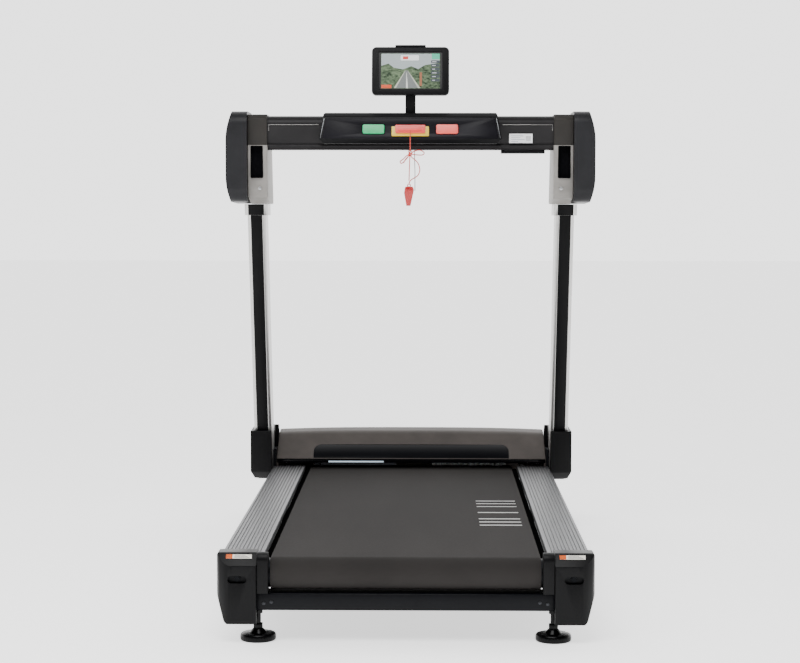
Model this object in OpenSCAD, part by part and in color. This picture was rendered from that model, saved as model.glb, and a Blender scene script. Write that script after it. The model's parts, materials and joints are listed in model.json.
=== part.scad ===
// Flat-deck running machine: a belt deck on a steel base, two leaning uprights,
// a crossbar console with start and stop buttons, a safety key and a tablet holder.
// X is to the user's right, Y is the way the user faces, Z is up, and the floor is Z = 0.

/* [Overall] */
// Length from the rear caps to the front of the motor hood
overall_len = 1900; // [1600:10:2300]
// Height of the foot rails' top face above the floor
deck_h = 183; // [160:1:230]
// Height of the crossbar's centre line above the floor
bar_h = 1110; // [900:5:1400]
// Lean of the uprights toward the user, in degrees
lean = 17; // [5:1:22]

/* [Running deck] */
// Width of the running belt
belt_w = 570; // [400:5:650]
// Thickness of the running belt
belt_t = 3; // [2:0.5:5]
// Radius of both rollers
roller_r = 31; // [24:0.5:34]
// Thickness of the deck board
board_t = 20; // [12:1:24]
// Width of each foot rail
rail_w = 90; // [75:1:130]
// Grooves in each foot rail
rail_grooves = 9; // [5:1:10]
// Gap between the belt's edge and the foot rail
belt_gap = 15; // [8:1:25]

/* [Base frame] */
// Width of the side tubes
tube_w = 60; // [40:1:64]
// Wall of the side tubes
tube_wall = 3; // [2:0.5:5]
// Diameter of a levelling foot's pad
foot_d = 76; // [50:1:100]
// Diameter of a transport wheel
wheel_d = 76; // [60:1:80]

/* [Front end] */
// Length of the motor hood
hood_len = 420; // [380:5:520]
// Height of the motor hood's top above the foot rails
hood_rise = 98; // [90:1:180]
// Radius of the motor's case
motor_r = 58; // [45:1:64]
// Radius of the front roller's drive pulley
pulley_r = 45; // [38:1:50]
// Radius of the motor's pulley
pinion_r = 20; // [14:1:26]

/* [Uprights and head] */
// Width of an upright
upright_w = 49; // [40:1:70]
// Depth of an upright
upright_d = 90; // [60:1:110]
// Height of a side pod
pod_h = 243; // [220:1:300]
// Thickness of a side pod
pod_t = 56; // [40:1:80]

/* [Console] */
// Width of the console
console_w = 476; // [440:2:560]
// Width of a start or stop button
button_w = 57; // [40:1:70]
// Height of a start or stop button
button_h = 25; // [18:1:30]
// Travel of a start or stop button
button_travel = 2.5; // [1:0.5:4]
// Width of the tablet holder's cradle
cradle_w = 203; // [180:1:280]
// Height of the tablet holder's cradle
cradle_h = 129; // [110:1:180]

/* [Hidden] */
$fn = 48;
fit = 0.3;          // gap between pieces that move past each other
run = 0.05;         // radial clearance of a shaft in its bore
tiny = 0.02;        // overrun of a cut past a face

rear_y = -overall_len / 2;
front_y = overall_len / 2;

// deck, from the belt outward
rail_in = belt_w / 2 + belt_gap;
rail_out = rail_in + rail_w;
rail_t = 23;
groove_w = 3.2;
groove_d = 2.2;
tube_out = rail_out - 8;
tube_in = tube_out - tube_w;
tube_top = deck_h - rail_t;
tube_h = 70;
tube_z = tube_top - tube_h;
belt_top = deck_h - 7;
roller_z = belt_top - belt_t - fit - roller_r;
belt_in_r = roller_r + fit;
belt_out_r = belt_in_r + belt_t;
board_z = belt_top - belt_t - fit - board_t;

// stations along the deck
cap_len = 60;
rail_rear = rear_y + cap_len;
rear_roller_y = rear_y + 15 + belt_out_r;
hood_rear = front_y - hood_len;
rail_front = hood_rear - 2;
rail_tuck = 94;
front_roller_y = hood_rear + 70;
tube_rear = rear_y + 15;
tube_front = front_y - 50;
cap_t = 4;
cap_r = 24;
cap_in = rail_in + 13;
cap_out = rail_out + 8;
cap_bottom = 40;
slot_w = 40;
slot_h = 16;
bolt_x = cap_in + slot_w;
bolt_z = roller_z - 7;
bolt_r = 4;

// rear beam and feet
beam_d = 60;
beam_h = 36;
beam_z = roller_z - belt_out_r - 4 - beam_h;
beam_y = rear_y + 15;
foot_x = cap_in - 1;
foot_y = beam_y + 25;
stud_r = 6;
pad_h = 16;

// cross members and deck cushions
member_d = 50;
member_h = 22;
cushion_h = 6;
member_z = board_z - cushion_h - member_h;
member_ys = [-0.36, -0.04, 0.26];
cushion_r = 14;

// axles and bearings
axle_r = 8.5;
bearing_r = 20;
bearing_w = 12;
roller_half = belt_w / 2 + 4;
roller_wall = 4;
axle_half = tube_in + 10;

// motor bay
plate_t = 6;
plate_z = tube_z + 10;
motor_y = front_roller_y + 190;
motor_z = plate_z + plate_t + 10 + motor_r;
motor_x0 = -roller_half + 22;
motor_len = 220;
pulley_w = 20;
pulley_x = -roller_half - 4 - pulley_w;
flywheel_r = motor_r - 8;
flywheel_w = 14;
strap_t = 4;
plate_y0 = motor_y - 80;
plate_y1 = tube_front - 30;

// hood
hood_w = tube_out - 0.5;
hood_wall = 5;
hood_top = deck_h + hood_rise;
lip_z = deck_h + 9;
lip_h = 12.6;
slope_run = 79;
hood_taper = 3;
slope_rise = hood_top - 7 - lip_z - lip_h;
slope_tilt = atan2(slope_run, slope_rise);
inset_w = belt_w - 16;
inset_h = 53;
inset_r = 24;
inset_t = 2.7;
pan_t = 3;
pan_z = tube_z - 6;
inlet_x = tube_in - 72;
inlet_z = tube_z + 40;
switch_x = inlet_x - 44;
rocker_w = 14;
rocker_d = 11;
rocker_pin_r = 2.2;

// transport wheels
wheel_w = 28;
wheel_x = (tube_in + tube_out) / 2;
wheel_y = front_y - 120;
wheel_r = wheel_d / 2;
pin_r = 5;
fork_t = 5;
fork_gap = wheel_w / 2 + 3;

// uprights
upright_x = tube_out + 9 + upright_w / 2;
upright_z0 = deck_h - 22;
upright_y0 = hood_rear + 30;
pod_top = bar_h + 56;
pod_z = pod_top - pod_h;
collar_h = 30;
upright_z1 = pod_z - 2;
upright_len = (upright_z1 - upright_z0 - upright_d / 2 * sin(lean)) / cos(lean);
plate_lift = 70;
trim_w = 31;
trim_t = 3;
upright_wall = 4;
boot_rear = hood_rear - 70;
boot_len = 200;
boot_z = deck_h - 28;
boot_top = deck_h + 107;
boot_out = upright_x + upright_w / 2 + 9;
boot_wall = 4;

// head
head_in = upright_x - upright_w / 2 - 15;
head_out = head_in + 52;
head_bottom = pod_z;
head_top = bar_h + 48;
bar_reach = 104.86;
bar_y = upright_y0 - (bar_h - upright_z0) * tan(lean) - bar_reach;
bar_d = 70;
bar_top = bar_h + 44;
bar_bottom = bar_h - 45;
bar_r = 22;
pocket_w = 33;
pocket_h = 85;
pocket_d = 26;
pocket_z = bar_h - 119;
pod_wall = 4;
pod_r = 34;

// console face: local Z runs up the face, local Y runs into the console
face_y = bar_y - 41;
face_z = bar_h - 19;
face_tilt = 13.35;
face_h = 60;
panel_t = 3;
button_x = 96;
row_z = 27;
flange = 3;
// thickness of a button's flange, and the space its switch takes behind it
flange_t = 3;
switch_room = 7.2;
key_w = 78;
key_h = 22;
key_z = row_z - 1;
peg_w = 60;
peg_h = 9;
frame_w = 97;
frame_h = 26;

// tablet holder: local Z runs up the tablet, local Y runs away from the user
holder_y = bar_y - 5;
holder_z = bar_h + 99;
holder_tilt = 12;
cradle_t = 16;
window_w = cradle_w - 36;
window_h = cradle_h - 26;
tablet_t = 9;
screen_w = window_w - 12;
screen_h = window_h - 8;
screen_t = 0.8;
hinge_ly = cradle_t + 12;
hinge_lz = 45;
hinge_r = 9;
hinge_y = holder_y + hinge_ly * cos(holder_tilt) + hinge_lz * sin(holder_tilt);
hinge_z = holder_z - hinge_ly * sin(holder_tilt) + hinge_lz * cos(holder_tilt);
post_w = 27;
post_t = 12;

// lanyard: hand-chosen route from the key down to the clip's ring, from the console face's foot
cord_r = 1.25;
cord_route = [
  [0, -6, 23], [0, -11, 17], [0, -15, 7], [0, -16, -6], [0, -16, -23],
  [0, -16, -39], [5, -16, -48], [14, -16, -55], [22, -16, -66], [25, -16, -81],
  [20, -16, -94], [10, -16, -101], [1, -16, -107], [-3, -16, -115]
];
// thin cord: route from the crossbar's underside
tether_r = 1;
tether_route = [[11, 17, 0], [11, 17, -25], [12, 16, -55], [12, 15, -85], [12, 15, -107]];
clip_x = -3;
clip_y = face_y - 10.4;
clip_z = face_z - 141;
clip_w = 26;
clip_jaw = 32;

// ---- helpers ----

// a rounded rectangle centred on the origin
module rounded_rect(w, h, r) {
  square([w - 2 * r, h], center = true);
  square([w, h - 2 * r], center = true);
  for (x = [-1, 1], y = [-1, 1])
    translate([x * (w / 2 - r), y * (h / 2 - r)]) circle(r);
}

// extrudes a Y-Z outline along X, from x0 to x1
module along_x(x0, x1) {
  translate([x0, 0, 0]) rotate([90, 0, 90]) linear_extrude(x1 - x0) children();
}

// extrudes an X-Z outline along Y, from y0 to y1
module along_y(y0, y1) {
  translate([0, y1, 0]) rotate([90, 0, 0]) linear_extrude(y1 - y0) children();
}

// a rod along X
module rod_x(r, x0, x1, y = 0, z = 0) {
  translate([x0, y, z]) rotate([0, 90, 0]) cylinder(r = r, h = x1 - x0);
}

// a rod along Y
module rod_y(r, y0, y1, x = 0, z = 0) {
  translate([x, y0, z]) rotate([-90, 0, 0]) cylinder(r = r, h = y1 - y0);
}

// a box given by its low and high corners
module span_box(a, b) {
  translate(a) cube(b - a);
}

// the right-hand child on the side given: 1 keeps it and -1 mirrors it
module on_side(s) {
  if (s > 0) children();
  else mirror([1, 0, 0]) children();
}

// the child on both sides
module both_sides() {
  for (s = [-1, 1]) on_side(s) children();
}

// the frame of the console's slanted face
module at_face() {
  translate([0, face_y, face_z]) rotate([-face_tilt, 0, 0]) children();
}

// the frame of the tablet holder
module at_holder() {
  translate([0, holder_y, holder_z]) rotate([-holder_tilt, 0, 0]) children();
}

// the frame of the right upright's axis, which rises along local Z
module at_upright() {
  translate([upright_x, upright_y0, upright_z0]) rotate([lean, 0, 0]) children();
}

// a rounded block on the console face: centre x and z, size, and depth from y0 to y1
module face_block(x, z, w, h, r, y0, y1) {
  at_face() translate([x, 0, z]) along_y(y0, y1) rounded_rect(w, h, r);
}

// the outline of a belt around two rollers
module loop_outline(r, ya, yb, z) {
  translate([ya, z]) circle(r, $fn = 96);
  translate([yb, z]) circle(r, $fn = 96);
  translate([ya, z - r]) square([yb - ya, 2 * r]);
}

// unit vectors and rings for a swept cord
function unit(v) = v / norm(v);
function heading(p, i) = unit(p[min(i + 1, len(p) - 1)] - p[max(i - 1, 0)]);
function side_of(t) = unit(cross(t, abs(t[0]) > 0.9 ? [0, 1, 0] : [1, 0, 0]));
function ring(p, i, r, n) =
  let (t = heading(p, i), u = side_of(t), v = cross(t, u))
  [for (k = [0 : n - 1]) p[i] + r * (cos(360 * k / n) * u + sin(360 * k / n) * v)];
function sweep_faces(m, n) = concat(
  [[for (k = [0 : n - 1]) k]],
  [for (i = [0 : m - 2], k = [0 : n - 1]) each [
    [i * n + k, (i + 1) * n + k, i * n + (k + 1) % n],
    [i * n + (k + 1) % n, (i + 1) * n + k, (i + 1) * n + (k + 1) % n]]],
  [[for (k = [n - 1 : -1 : 0]) (m - 1) * n + k]]);
// points between the chosen ones, on a smooth curve through them
function smooth_at(p, i, f) =
  let (a = p[max(i - 1, 0)], b = p[i], c = p[i + 1], d = p[min(i + 2, len(p) - 1)])
  0.5 * ((2 * b) + (c - a) * f + (2 * a - 5 * b + 4 * c - d) * f * f
    + (3 * b - a - 3 * c + d) * f * f * f);
function smooth(p, n) = concat(
  [for (i = [0 : len(p) - 2], k = [0 : n - 1]) smooth_at(p, i, k / n)],
  [p[len(p) - 1]]);

module cord(route, r, sides = 8, steps = 3) {
  p = smooth(route, steps);
  polyhedron(
    points = [for (i = [0 : len(p) - 1]) each ring(p, i, r, sides)],
    faces = sweep_faces(len(p), sides));
}

// ---- base frame ----

module side_tube() {
  difference() {
    span_box([tube_in, tube_rear, tube_z], [tube_out, tube_front, tube_top]);
    span_box([tube_in + tube_wall, tube_rear + 2 * tube_wall, tube_z + tube_wall],
      [tube_out - tube_wall, tube_front + tiny, tube_top - tube_wall]);
    rod_x(axle_r + run, tube_in - tiny, tube_in + tube_wall + tiny, front_roller_y, roller_z);
    rod_x(axle_r + run, tube_in - tiny, tube_in + tube_wall + tiny, rear_roller_y, roller_z);
    rod_y(bolt_r + run, tube_rear - tiny, tube_rear + 2 * tube_wall + tiny, bolt_x, bolt_z);
  }
}

// weld plate that carries an upright on its side tube
module upright_plate() {
  along_x(tube_out - tiny, upright_x - upright_w / 2 - 0.1)
    polygon([
      [upright_y0 - 28, tube_z + 6], [upright_y0 + 60, tube_z + 6],
      [upright_y0 + 30, upright_z0 + plate_lift], [upright_y0 - 28, upright_z0 + plate_lift]
    ]);
}

module side_tubes() {
  color("dimgray")
    both_sides() {
      side_tube();
      upright_plate();
    }
}

module cross_members() {
  color("dimgray") {
    for (f = member_ys)
      difference() {
        span_box([-tube_in, f * overall_len - member_d / 2, member_z],
          [tube_in, f * overall_len + member_d / 2, member_z + member_h]);
        span_box([-tube_in - tiny, f * overall_len - member_d / 2 + tube_wall,
            member_z + tube_wall],
          [tube_in + tiny, f * overall_len + member_d / 2 - tube_wall,
            member_z + member_h - tube_wall]);
      }
    span_box([-tube_in, plate_y0, plate_z], [tube_in, plate_y1, plate_z + plate_t]);
  }
}

module rear_beam() {
  half = tube_in;
  color("midnightblue")
    difference() {
      span_box([-half, beam_y, beam_z], [half, beam_y + beam_d, beam_z + beam_h]);
      span_box([-foot_x + 20, beam_y + tube_wall, beam_z + tube_wall],
        [foot_x - 20, beam_y + beam_d - tube_wall, beam_z + beam_h - tube_wall]);
      both_sides() {
        translate([foot_x, foot_y, beam_z - tiny]) cylinder(r = stud_r + run, h = beam_h - 4);
        rod_y(2.5, beam_y - tiny, beam_y + 8, foot_x - 30, beam_z + beam_h / 2);
        rod_y(2.5, beam_y - tiny, beam_y + 8, foot_x - 14, beam_z + beam_h / 2 - 3);
      }
    }
}

module deck_board() {
  color("saddlebrown")
    span_box([-rail_in + 2, rear_roller_y + 50, board_z],
      [rail_in - 2, front_roller_y - 50, board_z + board_t]);
}

module deck_cushions() {
  color("black")
    for (f = member_ys, x = [-1, -0.33, 0.33, 1])
      translate([x * (belt_w / 2 - 25), f * overall_len, member_z + member_h])
        cylinder(r = cushion_r, h = cushion_h);
}

// X-Z section of the right foot rail
module rail_section() {
  pitch = (rail_w - 10) / rail_grooves;
  difference() {
    translate([rail_in, tube_top]) square([rail_w, rail_t]);
    for (i = [0 : rail_grooves - 1])
      translate([rail_in + 5 + (i + 0.5) * pitch - groove_w / 2, deck_h - groove_d])
        square([groove_w, groove_d + tiny]);
    translate([rail_in - tiny, tube_top - tiny]) square([6, 9]);
  }
}

module foot_rail(s) {
  color("darkgray")
    on_side(s)
      difference() {
        along_y(rail_rear, rail_front + rail_tuck) rail_section();
        // the front end runs on under the hood, inside its side walls
        span_box([hood_w - hood_wall - fit, rail_front, tube_top - 1],
          [rail_out + 1, rail_front + rail_tuck + 1, deck_h + 1]);
        // and clear of the drive pulley
        span_box([rail_in - 1, front_roller_y - pulley_r - strap_t - 3, tube_top - 1],
          [roller_half + pulley_w + 7, rail_front + rail_tuck + 1, deck_h + 1]);
      }
}

// Y-Z outline of a rear cap, shrunk by a wall
module cap_outline(w) {
  y0 = rear_y + w;
  y1 = rail_rear + 8;
  z1 = deck_h + 6 - w;
  r = cap_r - w;
  translate([y0 + r, z1 - r]) circle(r);
  polygon([[y0, cap_bottom], [y1, cap_bottom], [y1, z1], [y0 + r, z1], [y0 + r, z1 - r],
    [y0, z1 - r]]);
}

// X-Z outline that slants the cap's lower outer edge
module cap_front(w) {
  polygon([[cap_in + w, cap_bottom - 1], [cap_in + w, deck_h + 10], [cap_out - w, deck_h + 10],
    [cap_out - w, deck_h - 80], [cap_out - w - 18, cap_bottom - 1]]);
}

module rear_cap(s) {
  color("#1e1f22")
    on_side(s)
      difference() {
        intersection() {
          along_x(cap_in, cap_out) cap_outline(0);
          along_y(rear_y - 1, rail_rear + 9) cap_front(0);
        }
        intersection() {
          along_x(cap_in, cap_out) union() {
            cap_outline(cap_t);
            translate([rear_y + cap_t, cap_bottom - 1]) square([cap_len + 8, 30]);
            translate([rail_rear - 0.5, cap_bottom - 1]) square([9, deck_h - cap_bottom + 2]);
          }
          along_y(rear_y - 1, rail_rear + 10) cap_front(cap_t);
        }
        // the rail, the tube and the beam pass through it
        span_box([rail_in, rail_rear - 0.5, tube_top - 1], [rail_out + fit, rail_rear + 9, deck_h]);
        span_box([cap_in - tiny, beam_y - 1, cap_bottom - 1],
          [cap_in + cap_t + tiny, rail_rear + 9, beam_z + beam_h + 1]);
        span_box([cap_in - tiny, rear_roller_y - 14, beam_z],
          [cap_in + cap_t + tiny, rail_rear + 9, roller_z + 14]);
        translate([bolt_x, 0, bolt_z]) along_y(rear_y - 1, rear_y + cap_t + 1)
          rounded_rect(slot_w, slot_h, slot_h / 2 - tiny);
      }
}

module roller_guards() {
  color("#1b1b1e")
    both_sides()
      difference() {
        along_x(belt_w / 2 + 3.5, cap_in - 4) union() {
          translate([rear_y + 24, belt_top - 4]) circle(18);
          translate([rear_y + 6, beam_z + beam_h + fit]) square([36, belt_top - beam_z - beam_h - 5]);
        }
        rod_x(roller_r + 1, 0, roller_half + 1, rear_roller_y, roller_z);
        rod_x(axle_r + 1, 0, cap_out, rear_roller_y, roller_z);
      }
}

// ---- belt and rollers ----

module running_belt() {
  color("#2b2b2d")
    along_x(-belt_w / 2, belt_w / 2)
      difference() {
        loop_outline(belt_out_r, rear_roller_y, front_roller_y, roller_z);
        loop_outline(belt_in_r, rear_roller_y, front_roller_y, roller_z);
      }
}

module roller_axles() {
  color("silver") {
    rod_x(axle_r, -axle_half, axle_half, front_roller_y, roller_z);
    rod_x(axle_r, -bolt_x - 8, bolt_x + 8, rear_roller_y, roller_z);
  }
}

module roller(y) {
  color("lightgray")
    difference() {
      rod_x(roller_r, -roller_half, roller_half, y, roller_z);
      rod_x(roller_r - roller_wall, -roller_half + bearing_w, roller_half - bearing_w, y, roller_z);
      rod_x(bearing_r, -roller_half - tiny, roller_half + tiny, y, roller_z);
    }
}

module front_roller() {
  roller(front_roller_y);
}

module rear_roller() {
  roller(rear_roller_y);
}

module bearing_pair(y) {
  color("silver")
    both_sides()
      difference() {
        rod_x(bearing_r, roller_half - bearing_w, roller_half, y, roller_z);
        rod_x(axle_r + run, roller_half - bearing_w - tiny, roller_half + tiny, y, roller_z);
      }
}

module front_bearings() {
  bearing_pair(front_roller_y);
}

module rear_bearings() {
  bearing_pair(rear_roller_y);
}

module tension_bolts() {
  head_h = 5;
  color("gray")
    both_sides() {
      rod_y(bolt_r, tube_rear, rear_roller_y - axle_r, bolt_x, bolt_z);
      translate([bolt_x, tube_rear, bolt_z]) rotate([90, 0, 0]) cylinder(r = 6.5, h = head_h, $fn = 6);
    }
}

// ---- drive ----

// a ribbed pulley with its low end at x, turning about X
module ribbed_pulley(r, x, y, z) {
  difference() {
    rod_x(r, x, x + pulley_w, y, z);
    for (i = [1 : 4])
      difference() {
        rod_x(r + 1, x + i * 4 - 1, x + i * 4 + 1, y, z);
        rod_x(r - 2, x + i * 4 - 1 - tiny, x + i * 4 + 1 + tiny, y, z);
      }
  }
}

module drive_pulley() {
  color("gray")
    difference() {
      union() {
        ribbed_pulley(pulley_r, pulley_x, front_roller_y, roller_z);
        rod_x(bearing_r - 2, pulley_x + pulley_w - tiny, -roller_half, front_roller_y, roller_z);
      }
      rod_x(axle_r + 1, pulley_x - tiny, -roller_half + tiny, front_roller_y, roller_z);
    }
}

module motor_rotor() {
  color("silver") {
    ribbed_pulley(pinion_r, pulley_x, motor_y, motor_z);
    rod_x(flywheel_r, motor_x0 - flywheel_w - 4, motor_x0 - 4, motor_y, motor_z);
    rod_x(axle_r, pulley_x + pulley_w - tiny, motor_x0 + motor_len - 6, motor_y, motor_z);
  }
}

module motor() {
  cap_d = 16;
  color("#3a3d42")
    difference() {
      union() {
        rod_x(motor_r, motor_x0, motor_x0 + motor_len, motor_y, motor_z);
        for (x = [motor_x0 + 30, motor_x0 + motor_len - 60])
          span_box([x, motor_y - 50, plate_z + plate_t], [x + 30, motor_y + 50, motor_z - 20]);
        span_box([motor_x0 + 60, motor_y - 40, motor_z], [motor_x0 + 140, motor_y, motor_z + motor_r + 14]);
      }
      rod_x(motor_r - 16, motor_x0 + cap_d, motor_x0 + motor_len - cap_d, motor_y, motor_z);
      rod_x(axle_r + run, motor_x0 - tiny, motor_x0 + cap_d + tiny, motor_y, motor_z);
      rod_x(axle_r + run, motor_x0 + motor_len - cap_d - tiny, motor_x0 + motor_len - 4,
        motor_y, motor_z);
    }
}

// outline of the drive belt around its two pulleys, grown by a margin
module strap_outline(grow) {
  hull() {
    translate([front_roller_y, roller_z]) circle(pulley_r + grow);
    translate([motor_y, motor_z]) circle(pinion_r + grow);
  }
}

module drive_belt() {
  color("black")
    along_x(pulley_x + 1, pulley_x + pulley_w - 1)
      difference() {
        strap_outline(fit + strap_t);
        strap_outline(fit);
      }
}

module motor_controller() {
  fin = 4;
  case_w = 220;
  case_h = 45;
  case_x = tube_in - 42 - case_w;
  base_z = plate_z + plate_t;
  color("#5b5f63") {
    span_box([case_x, plate_y0 + 10, base_z], [case_x + case_w, plate_y1 - 10, base_z + case_h]);
    for (i = [0 : 12])
      span_box([case_x + 10 + i * 16, plate_y0 + 20, base_z + case_h - tiny],
        [case_x + 10 + i * 16 + fin, plate_y1 - 20, base_z + case_h + 30]);
  }
}

// ---- front end ----

module belly_pan() {
  y0 = front_roller_y + 50;
  y1 = front_y - hood_wall - 3;
  color("#222326") {
    span_box([-tube_in + 1, y0, pan_z], [tube_in - 1, y1, pan_z + pan_t]);
    span_box([-tube_in + 1, y0, pan_z], [tube_in - 1, y0 + pan_t, plate_z - 2]);
  }
}

// Y-Z outline of the hood, shrunk by a wall
module hood_outline(w) {
  nose = 70;
  polygon([
    [hood_rear + w, tube_top + fit - tiny],
    [hood_rear + w, lip_z + lip_h - w],
    [hood_rear + slope_run + w, hood_top - 7 - w],
    [hood_rear + slope_run + 40 + w, hood_top - w],
    [front_y - 180 - w, hood_top - 14 - w],
    [front_y - nose - w, hood_top - 40 - w],
    [front_y - 20 - w, hood_top - 68 - w],
    [front_y - w, hood_top - 100 - w],
    [front_y - w, tube_z],
    [tube_front + 6, tube_z],
    [tube_front + 6, tube_top + fit - tiny]
  ]);
}

// X-Z outline that tapers the hood's sides toward its top
module hood_front_outline(w) {
  polygon([
    [-hood_w + w, tube_z - 1], [-hood_w + w, lip_z], [-hood_w + hood_taper + w, hood_top + 1],
    [hood_w - hood_taper - w, hood_top + 1], [hood_w - w, lip_z], [hood_w - w, tube_z - 1]
  ]);
}

module hood_body(w) {
  intersection() {
    along_x(-hood_w, hood_w) hood_outline(w);
    along_y(hood_rear - 1, front_y + 1) hood_front_outline(w);
  }
}

module at_slope() {
  translate([0, hood_rear, lip_z + lip_h]) rotate([-slope_tilt, 0, 0]) children();
}

// the dark panel's outline: square at the bottom, round at its top corners
module inset_outline(grow) {
  w = inset_w / 2 + grow;
  translate([-w, 1]) square([2 * w, inset_h - inset_r]);
  translate([-w + inset_r, 1]) square([2 * (w - inset_r), inset_h + grow]);
  for (s = [-1, 1])
    translate([s * (w - inset_r), inset_h + grow + 1 - inset_r]) circle(inset_r);
}

module motor_hood() {
  color("#55524e")
    difference() {
      hood_body(0);
      difference() {
        hood_body(hood_wall);
        span_box([-hood_w, hood_rear - 1, tube_top - 1], [hood_w, hood_rear + hood_wall, lip_z]);
      }
      // open bottom and the mouth where the belt runs in
      span_box([-hood_w + hood_wall, hood_rear + hood_wall, tube_z - 1],
        [hood_w - hood_wall, front_y - hood_wall, tube_top + 2]);
      span_box([-hood_w + hood_wall, hood_rear - 1, tube_z - 1],
        [hood_w - hood_wall, hood_rear + hood_wall + tiny, lip_z]);
      at_slope() along_y(-tiny, inset_t + 0.1) inset_outline(0.1);
      span_box([inlet_x - 16, front_y - hood_wall - 1, inlet_z - 12],
        [inlet_x + 16, front_y + 1, inlet_z + 12]);
      span_box([switch_x - 11, front_y - hood_wall - 1, inlet_z - 12],
        [switch_x + 11, front_y + 1, inlet_z + 12]);
    }
}

module hood_inset() {
  color("#14151c") at_slope() along_y(0, inset_t) inset_outline(0);
}

module power_inlet() {
  color("black") {
    difference() {
      span_box([inlet_x - 15.7, front_y - 24, inlet_z - 11.7],
        [inlet_x + 15.7, front_y, inlet_z + 11.7]);
      span_box([inlet_x - 12, front_y - 18, inlet_z - 8], [inlet_x + 12, front_y + 1, inlet_z + 8]);
    }
    for (x = [-7, 0, 7])
      span_box([inlet_x + x - 1, front_y - 20, inlet_z - (x == 0 ? -1 : 3)],
        [inlet_x + x + 1, front_y - 6, inlet_z + (x == 0 ? 5 : 1)]);
    // the rocker's bezel
    difference() {
      span_box([switch_x - 10.7, front_y - 18, inlet_z - 11.7],
        [switch_x + 10.7, front_y, inlet_z + 11.7]);
      span_box([switch_x - rocker_w / 2 - 0.5, front_y - 16, inlet_z - 10.2],
        [switch_x + rocker_w / 2 + 0.5, front_y + 1, inlet_z + 10.2]);
      rod_x(rocker_pin_r + run, switch_x - 9.2, switch_x + 9.2, front_y - rocker_d, inlet_z);
    }
  }
}

// rocker that turns about X on a pin behind its face
module power_switch() {
  color("darkred") {
    rod_x(rocker_pin_r, switch_x - 9, switch_x + 9, front_y - rocker_d, inlet_z);
    rod_x(rocker_pin_r + 1.8, switch_x - rocker_w / 2, switch_x + rocker_w / 2,
      front_y - rocker_d, inlet_z);
    along_x(switch_x - rocker_w / 2, switch_x + rocker_w / 2)
      polygon([
        [front_y - 11, inlet_z - 3], [front_y - 5, inlet_z - 7.5], [front_y - 1.2, inlet_z - 7.5],
        [front_y - 3, inlet_z], [front_y - 3.6, inlet_z + 7.5], [front_y - 7, inlet_z + 7.5],
        [front_y - 11, inlet_z + 3]
      ]);
  }
}

module wheel_brackets() {
  top = tube_z;
  color("dimgray")
    both_sides()
      difference() {
        span_box([wheel_x - fork_gap - fork_t, wheel_y - 28, wheel_r - 14],
          [wheel_x + fork_gap + fork_t, wheel_y + 28, top]);
        span_box([wheel_x - fork_gap, wheel_y - 29, wheel_r - 15],
          [wheel_x + fork_gap, wheel_y + 29, top - fork_t]);
        rod_x(pin_r + run, wheel_x - 40, wheel_x + 40, wheel_y, wheel_r);
      }
}

module wheel_axles() {
  color("silver")
    both_sides() {
      rod_x(pin_r, wheel_x - fork_gap - fork_t - 1, wheel_x + fork_gap + fork_t + 1, wheel_y, wheel_r);
      for (x = [-1, 1])
        rod_x(8, wheel_x + x * (fork_gap + fork_t + 2.5) - 2, wheel_x + x * (fork_gap + fork_t + 2.5) + 2,
          wheel_y, wheel_r);
    }
}

module transport_wheel(s) {
  color("#202020")
    on_side(s)
      translate([wheel_x, wheel_y, wheel_r]) rotate([0, 90, 0]) rotate_extrude($fn = 96)
        difference() {
          union() {
            translate([pin_r + run, -wheel_w / 2]) square([wheel_r - pin_r - 3, wheel_w]);
            translate([pin_r + 2, -wheel_w / 2 + 3]) square([wheel_r - pin_r - 2, wheel_w - 6]);
          }
          for (z = [-wheel_w / 2 - 1, wheel_w / 2 - 5])
            translate([pin_r + 7, z]) square([wheel_r - pin_r - 18, 6]);
        }
}

module levelling_foot(s) {
  color("#101012")
    on_side(s)
      translate([foot_x, foot_y, 0]) {
        cylinder(r = foot_d / 2, h = pad_h);
        translate([0, 0, pad_h - tiny]) cylinder(r1 = 18, r2 = 12, h = 8);
        translate([0, 0, pad_h + 8 - 2 * tiny]) cylinder(r = 11, h = 12, $fn = 6);
        cylinder(r = stud_r, h = beam_z + beam_h - 8);
        translate([0, 0, beam_z - 10]) cylinder(r = 11, h = 9.4, $fn = 6);
      }
}

// ---- uprights ----

// X-Y section of an upright: a tube with round corners and a shallow groove at the rear
module upright_section() {
  r = 8;
  difference() {
    rounded_rect(upright_w, upright_d, r);
    rounded_rect(upright_w - 2 * upright_wall, upright_d - 2 * upright_wall - 2 * trim_t, 5);
    translate([-trim_w / 2 - 0.1, -upright_d / 2 - tiny])
      square([trim_w + 0.2, trim_t + 0.1 + tiny]);
  }
}

module upright(s) {
  color("silver") on_side(s) at_upright() linear_extrude(upright_len) upright_section();
}

module upright_trims() {
  color("#202123")
    both_sides()
      at_upright()
        translate([-trim_w / 2, -upright_d / 2, 0]) cube([trim_w, trim_t, upright_len]);
}

// Y-Z outline of a boot, shrunk by a wall
module boot_outline(w) {
  y0 = boot_rear;
  y1 = boot_rear + boot_len;
  polygon([
    [y0 + w, boot_z + 20], [y0 + w, boot_top - w], [y1 - 22, boot_top - w],
    [y1 - w, boot_top - 26], [y1 - w, boot_z + 20], [y1 - 20, boot_z + w], [y0 + 20, boot_z + w]
  ]);
}

module boot_front(w) {
  polygon([
    [tube_out + 0.2, boot_z - 1], [tube_out + 0.2, boot_top + 1], [boot_out - w, boot_top + 1],
    [boot_out - w, boot_z + 22], [boot_out - w - 10, boot_z - 1]
  ]);
}

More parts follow.
